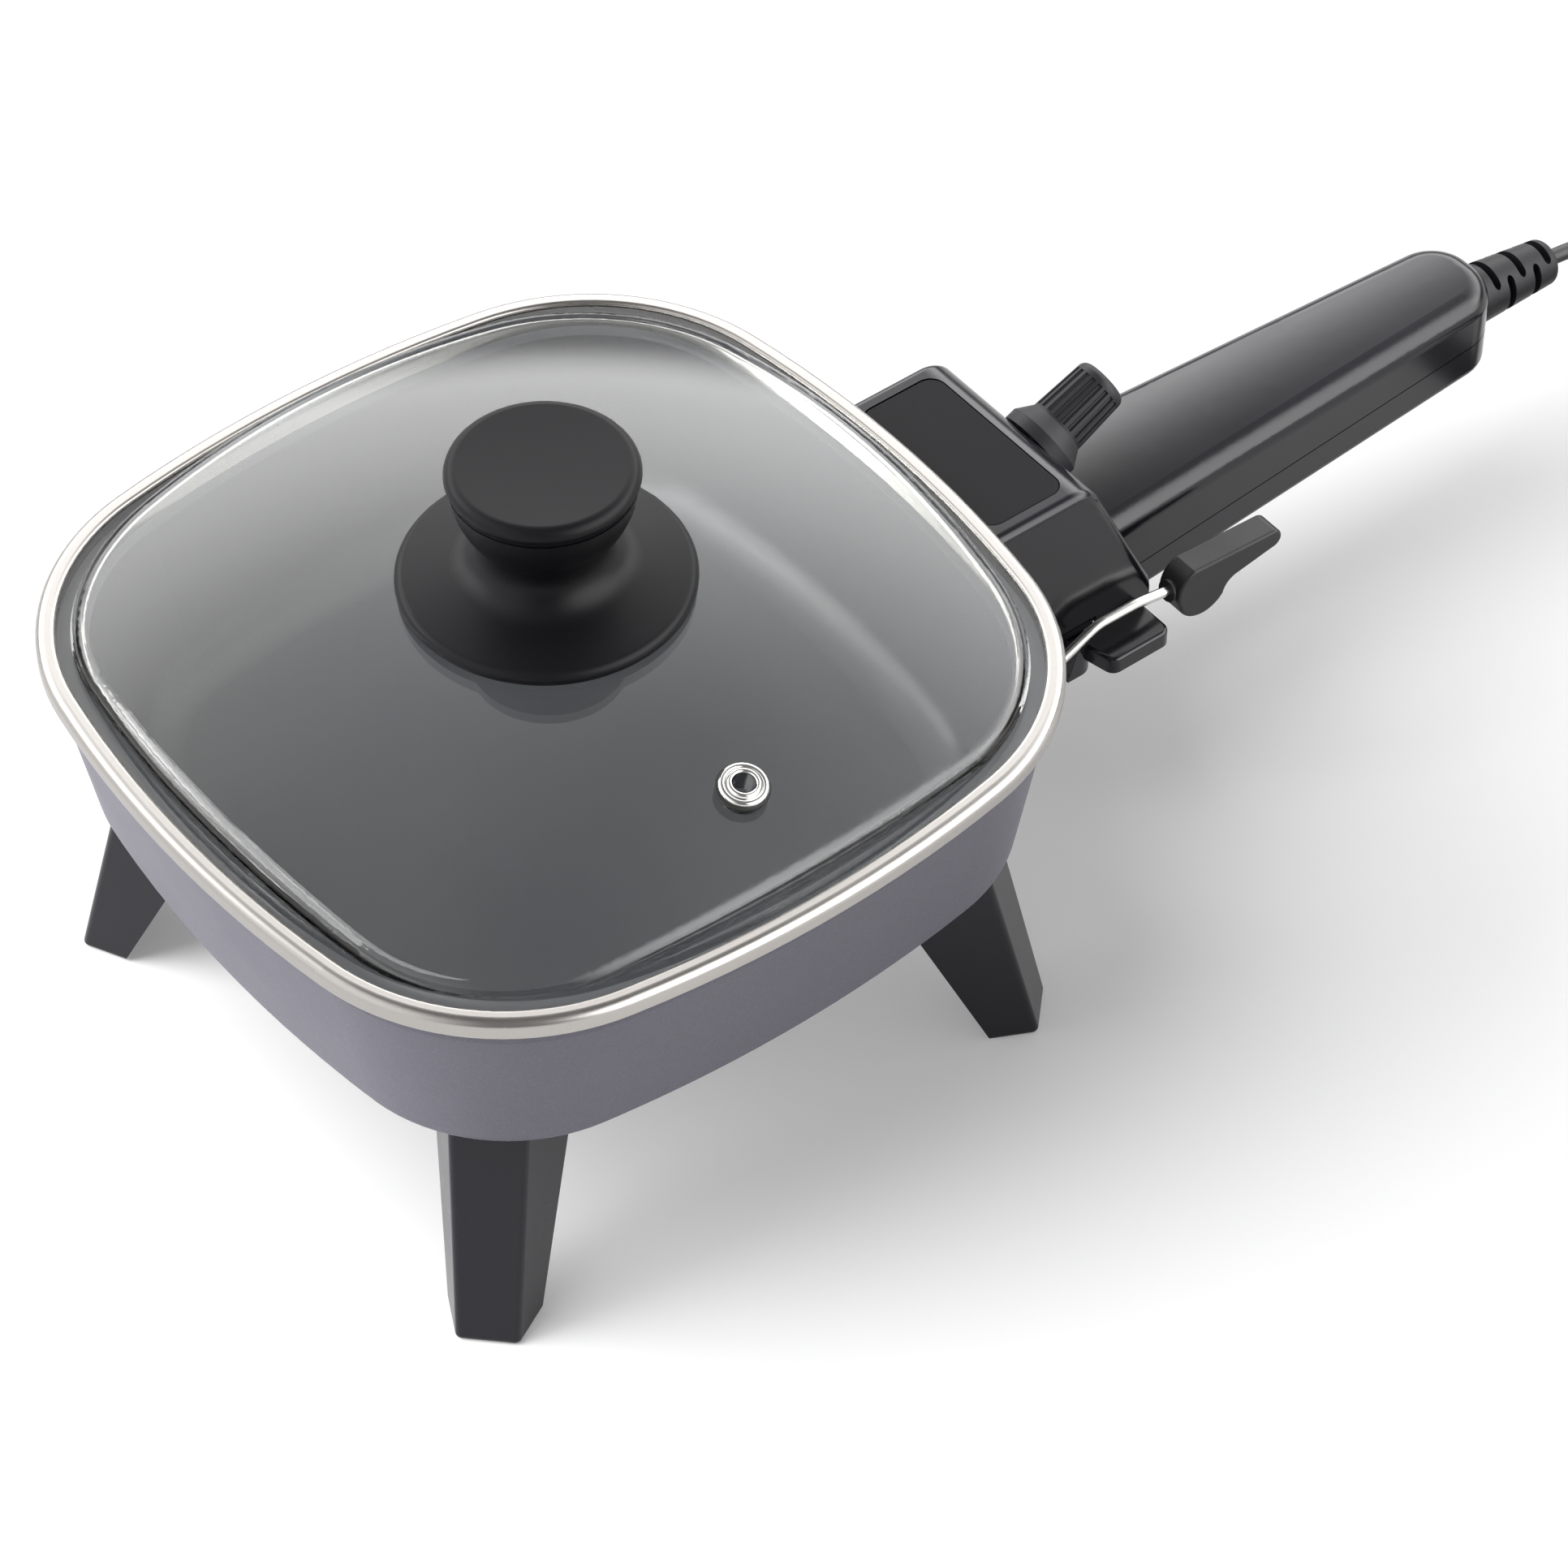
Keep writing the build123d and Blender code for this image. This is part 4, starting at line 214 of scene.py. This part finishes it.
def make_grain_group():
    """Fine grain: a tone that varies about 1, and a bumped normal."""
    group, entry, leave = start_group(
        "fine_grain",
        [("Scale", "NodeSocketFloat", 1500.0), ("Tone", "NodeSocketFloat", 0.1),
         ("Depth", "NodeSocketFloat", 0.1)],
        [("Tone", "NodeSocketFloat"), ("Normal", "NodeSocketVector")],
    )
    grain = noise_node(group, entry.outputs["Scale"])
    centred = math_node(group, "SUBTRACT", grain, 0.5)
    shift = math_node(group, "MULTIPLY", centred, entry.outputs["Tone"])
    tone = math_node(group, "MULTIPLY_ADD", shift, 2.0, 1.0)
    bump = group.nodes.new("ShaderNodeBump")
    bump.inputs["Distance"].default_value = GRAIN_HEIGHT
    group.links.new(grain, bump.inputs["Height"])
    group.links.new(entry.outputs["Depth"], bump.inputs["Strength"])
    group.links.new(tone, leave.inputs["Tone"])
    group.links.new(bump.outputs["Normal"], leave.inputs["Normal"])
    return group


fine_grain = make_grain_group()
print("group", fine_grain.name)

# %% [markdown]
# ## Smudges
# Fingers and cloths leave broad, faint patches that are a little duller than the clean gloss.
# Wide noise moves the roughness between a clean and a smudged value. A separate dirt colour
# would be too strong for a new appliance.

# %% Build the smudge group
SMUDGE_RANGE = (0.35, 0.7)      # the noise is clean below the first value, smudged above the second


def make_smudge_group():
    """Broad smudges: a roughness that wanders between two values."""
    group, entry, leave = start_group(
        "handled_gloss",
        [("Scale", "NodeSocketFloat", 30.0), ("Clean", "NodeSocketFloat", 0.2),
         ("Smudged", "NodeSocketFloat", 0.3)],
        [("Roughness", "NodeSocketFloat")],
    )
    cloud = noise_node(group, entry.outputs["Scale"], detail=4.0, roughness=0.6)
    spread = group.nodes.new("ShaderNodeMapRange")
    spread.inputs["From Min"].default_value = SMUDGE_RANGE[0]
    spread.inputs["From Max"].default_value = SMUDGE_RANGE[1]
    group.links.new(cloud, spread.inputs["Value"])
    group.links.new(entry.outputs["Clean"], spread.inputs["To Min"])
    group.links.new(entry.outputs["Smudged"], spread.inputs["To Max"])
    group.links.new(spread.outputs["Result"], leave.inputs["Roughness"])
    return group


handled_gloss = make_smudge_group()
print("group", handled_gloss.name)

# %% [markdown]
# ## Metal flakes
# Metallic paint holds tiny flakes, and each one catches the light by its own luck. Voronoi cells
# have a sharp edge and one random colour each, which plain noise hasn't. A power keeps only the
# luckiest cells bright.

# %% Build the flake group
FLAKE_POWER = 3.0


def make_fleck_group():
    """Metal flakes in a coat: a mask of sparse bright specks."""
    group, entry, leave = start_group(
        "metal_fleck",
        [("Scale", "NodeSocketFloat", 2500.0), ("Amount", "NodeSocketFloat", 0.5)],
        [("Mask", "NodeSocketFloat")],
    )
    place = group.nodes.new("ShaderNodeTexCoord")
    cells = group.nodes.new("ShaderNodeTexVoronoi")
    group.links.new(place.outputs["Object"], cells.inputs["Vector"])
    group.links.new(entry.outputs["Scale"], cells.inputs["Scale"])
    split = group.nodes.new("ShaderNodeSeparateColor")
    group.links.new(cells.outputs["Color"], split.inputs["Color"])
    bright = math_node(group, "POWER", split.outputs["Red"], FLAKE_POWER)
    mask = math_node(group, "MULTIPLY", bright, entry.outputs["Amount"])
    group.links.new(mask, leave.inputs["Mask"])
    return group


metal_fleck = make_fleck_group()
print("group", metal_fleck.name)

# %% [markdown]
# ## One plan for the plain finishes
# Plastic, rubber and bare metal could each have a material of their own making. They differ only
# in numbers, though: a base colour that the grain varies a little, a roughness that wanders between
# clean and smudged, a slight bump, and how strongly the surface shines. One function makes them all.

# %% Make a finish from the shared groups


def place_group(tree, group, **values):
    """A group node with some of its inputs set."""
    node = tree.nodes.new("ShaderNodeGroup")
    node.node_tree = group
    for label, value in values.items():
        node.inputs[label].default_value = value
    return node


def new_finish(name):
    """A fresh material, with its tree and its Principled BSDF."""
    material = bpy.data.materials.new(name)
    material.use_nodes = True
    tree = material.node_tree
    return material, tree, tree.nodes["Principled BSDF"]


def tinted(tree, colour, tone):
    """A colour socket: one plain colour made lighter and darker by a tone near 1."""
    tint = tree.nodes.new("ShaderNodeMix")
    tint.data_type = "RGBA"
    tint.blend_type = "MULTIPLY"
    tint.inputs["Factor"].default_value = 1.0
    tint.inputs["A"].default_value = (*colour, 1)
    tree.links.new(tone, tint.inputs["B"])
    return tint.outputs["Result"]


def make_finish(name, colour, clean, smudged, grain=1500.0, tone=0.1, depth=0.1, metallic=0.0,
                shine=0.5):
    """A grained finish: colour, the roughness where clean and where smudged, grain and shine."""
    material, tree, shader = new_finish(name)
    grains = place_group(tree, fine_grain, Scale=grain, Tone=tone, Depth=depth)
    smudges = place_group(tree, handled_gloss, Clean=clean, Smudged=smudged)
    tree.links.new(tinted(tree, colour, grains.outputs["Tone"]), shader.inputs["Base Color"])
    tree.links.new(smudges.outputs["Roughness"], shader.inputs["Roughness"])
    tree.links.new(grains.outputs["Normal"], shader.inputs["Normal"])
    shader.inputs["Metallic"].default_value = metallic
    shader.inputs["Specular IOR Level"].default_value = shine
    return material


print("helpers place_group, new_finish, tinted, make_finish")

# %% [markdown]
# ## Black mouldings
# The control, the handle, the legs and the knob are phenolic, a hard black plastic that stays cool
# near heat. One black for all of them would be simpler, but the pieces would run together. Black
# isn't zero either: a base of about one percent keeps the shapes readable. The control and the
# handle are polished and show the room sharply, the legs are a little duller, and the knob has a
# soft sheen. The plate on top of the control is the dullest.

# %% Make the black mouldings
gloss_phenolic = make_finish(
    "gloss_phenolic", (0.010, 0.0095, 0.014), clean=0.16, smudged=0.22, depth=0.02, shine=0.42
)
leg_phenolic = make_finish(
    "leg_phenolic", (0.010, 0.0095, 0.014), clean=0.22, smudged=0.3, depth=0.04, shine=0.32
)
knob_phenolic = make_finish(
    "knob_phenolic", (0.005, 0.0048, 0.006), clean=0.38, smudged=0.46, depth=0.06, shine=0.18
)
matte_plate = make_finish(
    "matte_plate", (0.008, 0.0075, 0.009), clean=0.4, smudged=0.48, depth=0.08, shine=0.12
)
print("finishes", len(bpy.data.materials))

# %% [markdown]
# ## Rubber and soft plastic
# The fluted dial, the lever's grip, the strain relief, the plug, the cord and the seals are softer
# than the mouldings, and duller than the polished ones. A sheen layer could show that, but it would
# grey their edges. A higher roughness and a deeper bump scatter their highlights instead.

# %% Make the rubbers
dial_rubber = make_finish(
    "dial_rubber", (0.011, 0.0105, 0.013), clean=0.45, smudged=0.55, grain=2200, depth=0.15, shine=0.4
)
grip_plastic = make_finish(
    "grip_plastic", (0.012, 0.011, 0.012), clean=0.42, smudged=0.52, grain=1800, depth=0.2, shine=0.4
)
relief_rubber = make_finish(
    "relief_rubber", (0.008, 0.008, 0.010), clean=0.4, smudged=0.5, depth=0.12, shine=0.3
)
cord_jacket = make_finish(
    "cord_jacket", (0.010, 0.010, 0.012), clean=0.35, smudged=0.45, grain=1200
)
silicone = make_finish("silicone", (0.02, 0.02, 0.02), clean=0.5, smudged=0.6)
print("finishes", len(bpy.data.materials))

# %% [markdown]
# ## Bare metal
# The lid's ring is satin steel with a warm tone, the lever and the pins are drawn wire, the vent
# and the screws are polished, the tongue under the pan is a rough casting, and the contacts are
# brass. Brushed lines would need a direction on every piece, so the satin is even. A metal has no
# colour beside its reflection, so the base colour here is how much of the room it gives back.

# %% Make the metals
ring_steel = make_finish(
    "ring_steel", (0.44, 0.42, 0.40), clean=0.24, smudged=0.32, grain=900, tone=0.03, depth=0.03,
    metallic=1.0
)
wire_steel = make_finish(
    "wire_steel", (0.60, 0.59, 0.57), clean=0.24, smudged=0.34, tone=0.05, depth=0.06, metallic=1.0
)
bright_steel = make_finish(
    "bright_steel", (0.78, 0.77, 0.75), clean=0.07, smudged=0.12, tone=0.02, depth=0.01, metallic=1.0
)
cast_tongue = make_finish(
    "cast_tongue", (0.55, 0.56, 0.57), clean=0.34, smudged=0.45, grain=700, tone=0.12, depth=0.2,
    metallic=0.9
)
brass = make_finish(
    "brass", (0.72, 0.55, 0.27), clean=0.2, smudged=0.32, tone=0.05, depth=0.05, metallic=1.0
)
print("finishes", len(bpy.data.materials))

# %% [markdown]
# ## Insulators inside
# Ceramic holds the hot pins and contacts, the thermostat has a brown phenolic case, and a braid of
# glass yarn covers the leads. Little of this shows, and only when the control is pulled off, so one
# plain white would nearly do. A finish for each keeps the pieces apart for someone who looks in.

# %% Make the insulators
ceramic = make_finish("ceramic", (0.78, 0.76, 0.70), clean=0.55, smudged=0.7, grain=900, depth=0.2)
brown_phenolic = make_finish("brown_phenolic", (0.10, 0.055, 0.03), clean=0.4, smudged=0.5)
braid = make_finish(
    "braid", (0.62, 0.58, 0.50), clean=0.7, smudged=0.8, grain=3000, tone=0.3, depth=0.4
)
print("finishes", len(bpy.data.materials))

# %% [markdown]
# ## Where the pan's two coats meet
# The casting is one piece with two coats: metallic paint outside, and a dark non-stick coat in the
# bowl and over its rim. Two materials would need the mesh to be cut, so one material tells them
# apart by place. Inside the tapering rounded square of the bowl it is non-stick, and outside it is
# paint. A rounded square is close to a superellipse, whose radius is a sum of powers. Below the
# rim, the border runs between the bowl's wall and the skirt, where it is hidden from above. At the
# rim it is a level line.

# %% Tell the bowl from the outside
BOWL_POWER = 3.1                # exponent of the superellipse that fits the rounded square
FLOOR_HALF = 75.0 * MM
FLOOR_HEIGHT = 62.5 * MM
WALL_SPREAD = 8.5 / 35.6        # how far the bowl's wall leans out for each unit of height
COAT_MARGIN = 4.5 * MM          # from the bowl's wall halfway to the skirt around it
FLOOR_MARGIN = 1.5 * MM         # how far the coat reaches below the bowl's floor
FLANGE_HEIGHT = 97.9 * MM       # the non-stick coat runs over the top of the rim


def bowl_mask(tree):
    """1 inside the bowl and 0 on the paint outside, from Object coordinates."""
    place = tree.nodes.new("ShaderNodeTexCoord")
    axes = tree.nodes.new("ShaderNodeSeparateXYZ")
    tree.links.new(place.outputs["Object"], axes.inputs["Vector"])
    across = math_node(tree, "SUBTRACT", axes.outputs["X"], PAN_CENTRE_X)
    powers = []
    for value in (across, axes.outputs["Y"]):
        share = math_node(tree, "DIVIDE", math_node(tree, "ABSOLUTE", value), FLOOR_HALF)
        powers.append(math_node(tree, "POWER", share, BOWL_POWER))
    total = math_node(tree, "ADD", *powers)
    root = math_node(tree, "POWER", total, 1 / BOWL_POWER)
    radius = math_node(tree, "MULTIPLY", root, FLOOR_HALF)
    rise = math_node(tree, "SUBTRACT", axes.outputs["Z"], FLOOR_HEIGHT)
    edge = math_node(tree, "MULTIPLY_ADD", rise, WALL_SPREAD, FLOOR_HALF + COAT_MARGIN)
    inside = math_node(tree, "LESS_THAN", radius, edge)
    above = math_node(tree, "GREATER_THAN", axes.outputs["Z"], FLOOR_HEIGHT - FLOOR_MARGIN)
    bowl = math_node(tree, "MULTIPLY", inside, above)
    flange = math_node(tree, "GREATER_THAN", axes.outputs["Z"], FLANGE_HEIGHT)
    return math_node(tree, "MAXIMUM", bowl, flange)


print("half width of the coat at the bowl's floor", round(FLOOR_HALF + COAT_MARGIN, 4))

# %% [markdown]
# ## The two coats
# The paint is a dusky violet grey with bright flakes and a satin sheen. The non-stick coat is
# nearly black, a little glossier, and its flakes hardly show. Each coat has a colour, a flake
# colour and an amount of flakes, and the mask picks between the two in colour, metal and gloss.

# %% Make the pan's material
PAINT = ((0.118, 0.113, 0.143), (0.26, 0.26, 0.32), 0.25)
NON_STICK = ((0.030, 0.031, 0.037), (0.10, 0.11, 0.12), 0.05)
PAINT_METAL = 0.15
NON_STICK_METAL = 0.05
FLAKE_SCALE = 4200.0


def coat_colour(tree, colour, fleck, amount):
    """A colour socket: a coat's colour, with some specks of its flake colour."""
    flakes = place_group(tree, metal_fleck, Scale=FLAKE_SCALE, Amount=amount)
    coat = tree.nodes.new("ShaderNodeMix")
    coat.data_type = "RGBA"
    coat.inputs["A"].default_value = (*colour, 1)
    coat.inputs["B"].default_value = (*fleck, 1)
    tree.links.new(flakes.outputs["Mask"], coat.inputs["Factor"])
    return coat.outputs["Result"]


def pick(tree, mask, low, high, kind="FLOAT"):
    """A socket that is the first value where the mask is 0, and the second where it is 1."""
    mix = tree.nodes.new("ShaderNodeMix")
    mix.data_type = kind
    tree.links.new(mask, mix.inputs["Factor"])
    tree.links.new(low, mix.inputs["A"])
    tree.links.new(high, mix.inputs["B"])
    return mix.outputs["Result"]


def make_pan_coat():
    """Metallic paint outside, non-stick inside, both with fine flakes."""
    material, tree, shader = new_finish("pan_coat")
    mask = bowl_mask(tree)
    colour = pick(tree, mask, coat_colour(tree, *PAINT), coat_colour(tree, *NON_STICK), kind="RGBA")
    metal = math_node(tree, "MULTIPLY_ADD", mask, NON_STICK_METAL - PAINT_METAL, PAINT_METAL)
    paint_gloss = place_group(tree, handled_gloss, Scale=22.0, Clean=0.44, Smudged=0.5)
    bowl_gloss = place_group(tree, handled_gloss, Scale=30.0, Clean=0.3, Smudged=0.4)
    gloss = pick(tree, mask, paint_gloss.outputs["Roughness"], bowl_gloss.outputs["Roughness"])
    grains = place_group(tree, fine_grain, Scale=1800.0, Depth=0.015)
    tree.links.new(colour, shader.inputs["Base Color"])
    tree.links.new(metal, shader.inputs["Metallic"])
    tree.links.new(gloss, shader.inputs["Roughness"])
    tree.links.new(grains.outputs["Normal"], shader.inputs["Normal"])
    return material


pan_coat = make_pan_coat()
print("material", pan_coat.name)

# %% [markdown]
# ## The glass
# The lid is tempered soda glass. It is nearly colourless across its thickness and faintly green
# where it is looked at edge on. The camera sees real reflection and refraction. Light that only
# passes through the lid to reach the pan would be lost as a slow caustic, so shadow rays see the
# glass as clear. A thin transparent film would be quicker still, but it wouldn't bend what lies
# behind the lid's shoulder.

# %% Make the glass


def make_lid_glass():
    """Clear glass with a faint cast, open to shadow rays."""
    material, tree, shader = new_finish("tempered_glass")
    shader.inputs["Base Color"].default_value = (0.975, 0.985, 0.972, 1)
    shader.inputs["Transmission Weight"].default_value = 1.0
    shader.inputs["IOR"].default_value = 1.52
    smudges = place_group(tree, handled_gloss, Scale=14.0, Clean=0.0, Smudged=0.01)
    tree.links.new(smudges.outputs["Roughness"], shader.inputs["Roughness"])
    rays = tree.nodes.new("ShaderNodeLightPath")
    clear = tree.nodes.new("ShaderNodeBsdfTransparent")
    clear.inputs["Color"].default_value = (0.90, 0.91, 0.90, 1)
    mix = tree.nodes.new("ShaderNodeMixShader")
    tree.links.new(rays.outputs["Is Shadow Ray"], mix.inputs["Fac"])
    tree.links.new(shader.outputs["BSDF"], mix.inputs[1])
    tree.links.new(clear.outputs["BSDF"], mix.inputs[2])
    tree.links.new(mix.outputs["Shader"], tree.nodes["Material Output"].inputs["Surface"])
    return material


tempered_glass = make_lid_glass()
print("material", tempered_glass.name)

# %% [markdown]
# ## Dressing the solids
# Each solid from the frame keeps its shape and gets the finish of the real piece. The list reads
# like a parts list, so a piece that was forgotten is easy to find, and the last line prints it.

# %% Give every solid its finish
finishes = {
    "pan_body": pan_coat,
    "heating_element": wire_steel,
    "terminal_pins": wire_steel,
    "pin_bushings": ceramic,
    "leg_rear_left": leg_phenolic,
    "leg_front_left": leg_phenolic,
    "leg_front_right": leg_phenolic,
    "leg_rear_right": leg_phenolic,
    "leg_screws": bright_steel,
    "mounting_tongue": cast_tongue,
    "tongue_screws": bright_steel,
    "latch_bracket": gloss_phenolic,
    "bracket_screws": bright_steel,
    "lid_rim": ring_steel,
    "lid_glass": tempered_glass,
    "vent_gasket": silicone,
    "vent_grommet": bright_steel,
    "knob_base": knob_phenolic,
    "knob_cap": knob_phenolic,
    "knob_washer": silicone,
    "knob_screw": bright_steel,
    "control_cover": gloss_phenolic,
    "base_cover": leg_phenolic,
    "cover_screws": bright_steel,
    "top_plate": matte_plate,
    "terminal_block": ceramic,
    "terminal_clips": brass,
    "thermostat": brown_phenolic,
    "temperature_probe": wire_steel,
    "handle_upper": gloss_phenolic,
    "handle_lower": gloss_phenolic,
    "handle_screws": bright_steel,
    "handle_leads": braid,
    "strain_relief": relief_rubber,
    "plug_body": relief_rubber,
    "plug_blades": brass,
    "dial_knob": dial_rubber,
    "dial_shaft": wire_steel,
    "lever_wire": wire_steel,
    "lever_clip": wire_steel,
    "lever_grip": grip_plastic,
}
for node_name, material in finishes.items():
    solid = nodes[node_name]
    solid.data.materials.clear()
    solid.data.materials.append(material)
cord.data.materials.append(cord_jacket)
undressed = [name for name, solid in nodes.items() if name not in finishes and not solid.hide_render]
print("dressed", len(finishes), "left over", undressed)

# %% [markdown]
# ## The floor
# The skillet stands on a pale floor that runs out to white. A floor that only glows would lose the
# shadow, so it is lit like anything else. A little glow on top, which only the camera, mirrors and
# clear glass see, lifts the open floor to white without putting more light on the skillet.

# %% Lay the floor
FLOOR_SIZE = 24
FLOOR_GLOW = 0.2

bpy.ops.mesh.primitive_plane_add(size=FLOOR_SIZE, location=(0, 0, 0))
floor = bpy.context.object
floor.name = "studio_floor"
floor_paint, floor_tree, floor_shader = new_finish("floor_paint")
floor_shader.inputs["Base Color"].default_value = (0.82, 0.82, 0.82, 1)
floor_shader.inputs["Roughness"].default_value = 0.8
floor_shader.inputs["Specular IOR Level"].default_value = 0.0


def ray_kinds(tree):
    """Two sockets: 1 for rays from the camera or through glass, and 1 for rays from a mirror."""
    rays = tree.nodes.new("ShaderNodeLightPath")
    passed = rays.outputs["Is Transmission Ray"]
    straight = math_node(tree, "MAXIMUM", rays.outputs["Is Camera Ray"], passed)
    mirrored = math_node(tree, "SUBTRACT", rays.outputs["Is Glossy Ray"], passed)
    return straight, math_node(tree, "MAXIMUM", mirrored, 0)


looked_at = math_node(floor_tree, "MAXIMUM", *ray_kinds(floor_tree))
floor_glow = math_node(floor_tree, "MULTIPLY", looked_at, FLOOR_GLOW)
floor_shader.inputs["Emission Color"].default_value = (1, 1, 1, 1)
floor_tree.links.new(floor_glow, floor_shader.inputs["Emission Strength"])
floor.data.materials.append(floor_paint)
print("floor glow", FLOOR_GLOW)

# %% [markdown]
# ## What the mirrors see
# Shiny black and clear glass show little of their own colour and a great deal of the room. Cards
# and lamps around the skillet could give that room. A sky with a soft pattern is simpler, since it
# has no edges that cross the view. Its pattern is a bright wall behind the skillet that starts a
# little above the table and fades towards the ceiling, a dark side where the camera stands, a pale
# left side, and a broad soft box low in front on the right. The wall puts the milky veil on the
# far half of the lid, and the box draws the bright line along the handle's near edge.

# %% Paint the patterns of the sky
WALL_TOWARDS = (0.616, 0.788, 0)    # level, and straight away from the camera
WALL_SIDES = (-0.15, 0.3)       # the wall is gone at the first value and full at the second
WALL_FOOT = (0.16, 0.3)
WALL_TOP = (-0.95, -0.4)        # the same, but measured against straight down
WALL_LEVEL = 4.5
LEFT_TOWARDS = (-1, 0.3, 0.3)
LEFT_ANGLES = (20, 60)          # full within the first angle and gone at the second
LEFT_LEVEL = 1.2
BOX_TOWARDS = (0.42, -0.76, 0.35)
BOX_ANGLES = (5, 45)
BOX_LEVEL = 5.0
SKY_DARK = 0.22                 # the rest of the room

world = bpy.data.worlds.new("studio_world")
bpy.context.scene.world = world
world.use_nodes = True
sky_tree = world.node_tree


def towards(tree, direction):
    """How far a ray points in a direction: 1 straight along it, 0 across, -1 away."""
    place = tree.nodes.new("ShaderNodeTexCoord")
    product = tree.nodes.new("ShaderNodeVectorMath")
    product.operation = "DOT_PRODUCT"
    tree.links.new(place.outputs["Generated"], product.inputs[0])
    product.inputs[1].default_value = Vector(direction).normalized()
    return product.outputs["Value"]


def fade(tree, value, low, high, level):
    """0 below low and a level above high, with a smooth change between them."""
    ramp = tree.nodes.new("ShaderNodeMapRange")
    ramp.interpolation_type = "SMOOTHSTEP"
    tree.links.new(value, ramp.inputs["Value"])
    ramp.inputs["From Min"].default_value = low
    ramp.inputs["From Max"].default_value = high
    ramp.inputs["To Max"].default_value = level
    return ramp.outputs["Result"]


def sky_box(tree, direction, inner, outer, level):
    """A soft-edged patch of light around a direction, with its angles in degrees."""
    low = math.cos(math.radians(outer))
    high = math.cos(math.radians(inner))
    return fade(tree, towards(tree, direction), low, high, level)


up = towards(sky_tree, (0, 0, 1))
down = math_node(sky_tree, "MULTIPLY", up, -1)
wall_side = fade(sky_tree, towards(sky_tree, WALL_TOWARDS), *WALL_SIDES, 1.0)
wall_foot = fade(sky_tree, up, *WALL_FOOT, 1.0)
wall_top = fade(sky_tree, down, *WALL_TOP, WALL_LEVEL)
mirror_sky = math_node(sky_tree, "MULTIPLY", wall_side, wall_foot)
mirror_sky = math_node(sky_tree, "MULTIPLY_ADD", mirror_sky, wall_top, SKY_DARK)
left_side = sky_box(sky_tree, LEFT_TOWARDS, *LEFT_ANGLES, LEFT_LEVEL)
front_box = sky_box(sky_tree, BOX_TOWARDS, *BOX_ANGLES, BOX_LEVEL)
for patch in (left_side, front_box):
    mirror_sky = math_node(sky_tree, "ADD", mirror_sky, patch)
print("sky nodes", len(sky_tree.nodes))

# %% [markdown]
# ## What everything else sees
# Only mirrors see the pattern. The camera, and what it sees through clear glass, gets plain white,
# and plain surfaces are lit by an even fill from all over the sky. The kind of ray picks one of
# the three.

# %% Join the skies
SKY_FILL = 0.34
SKY_WHITE = 1.0

straight, mirrored = ray_kinds(sky_tree)
plain_sky = sky_tree.nodes.new("ShaderNodeMix")
plain_sky.inputs["A"].default_value = SKY_FILL
plain_sky.inputs["B"].default_value = SKY_WHITE
sky_tree.links.new(straight, plain_sky.inputs["Factor"])
whole_sky = pick(sky_tree, mirrored, plain_sky.outputs["Result"], mirror_sky)
background = sky_tree.nodes["Background"]
background.inputs["Color"].default_value = (1, 1, 1, 1)
sky_tree.links.new(whole_sky, background.inputs["Strength"])
print("sky nodes", len(sky_tree.nodes))

# %% [markdown]
# ## The lamps
# A broad key lamp, high on the left, gives the shadow that falls to the right. A lower side lamp
# from the back left brightens the left of the pan and leaves its near corner dark, which shows
# how the wall turns. Area lamps would do as well, but sun lamps with a wide angle are as soft and
# light the floor evenly to its edges. Mirrors don't see them, because the sky already holds what
# they should show.

# %% Hang the lamps
LAMP_DISTANCE = 2
lamps = (
    ("key_lamp", (-0.48, 0.2, 0.85), 1.8, 42),
    ("side_lamp", (-0.78, 0.52, 0.35), 3.2, 50),
)
for lamp_name, direction, energy, angle in lamps:
    place = Vector(direction)
    turn = place.to_track_quat("Z", "Y").to_euler()
    bpy.ops.object.light_add(type="SUN", location=place * LAMP_DISTANCE, rotation=turn)
    lamp = bpy.context.object
    lamp.name = lamp_name
    lamp.data.energy = energy
    lamp.data.angle = math.radians(angle)
    lamp.visible_glossy = False
    print(lamp.name, "angle", angle)

# %% [markdown]
# ## Colours as they are
# A film-like view transform would grey the white floor and soften the blacks. The Standard one
# shows the colours as they were worked out.

# %% Set the view transform
bpy.context.scene.view_settings.view_transform = "Standard"
print("view transform", bpy.context.scene.view_settings.view_transform)
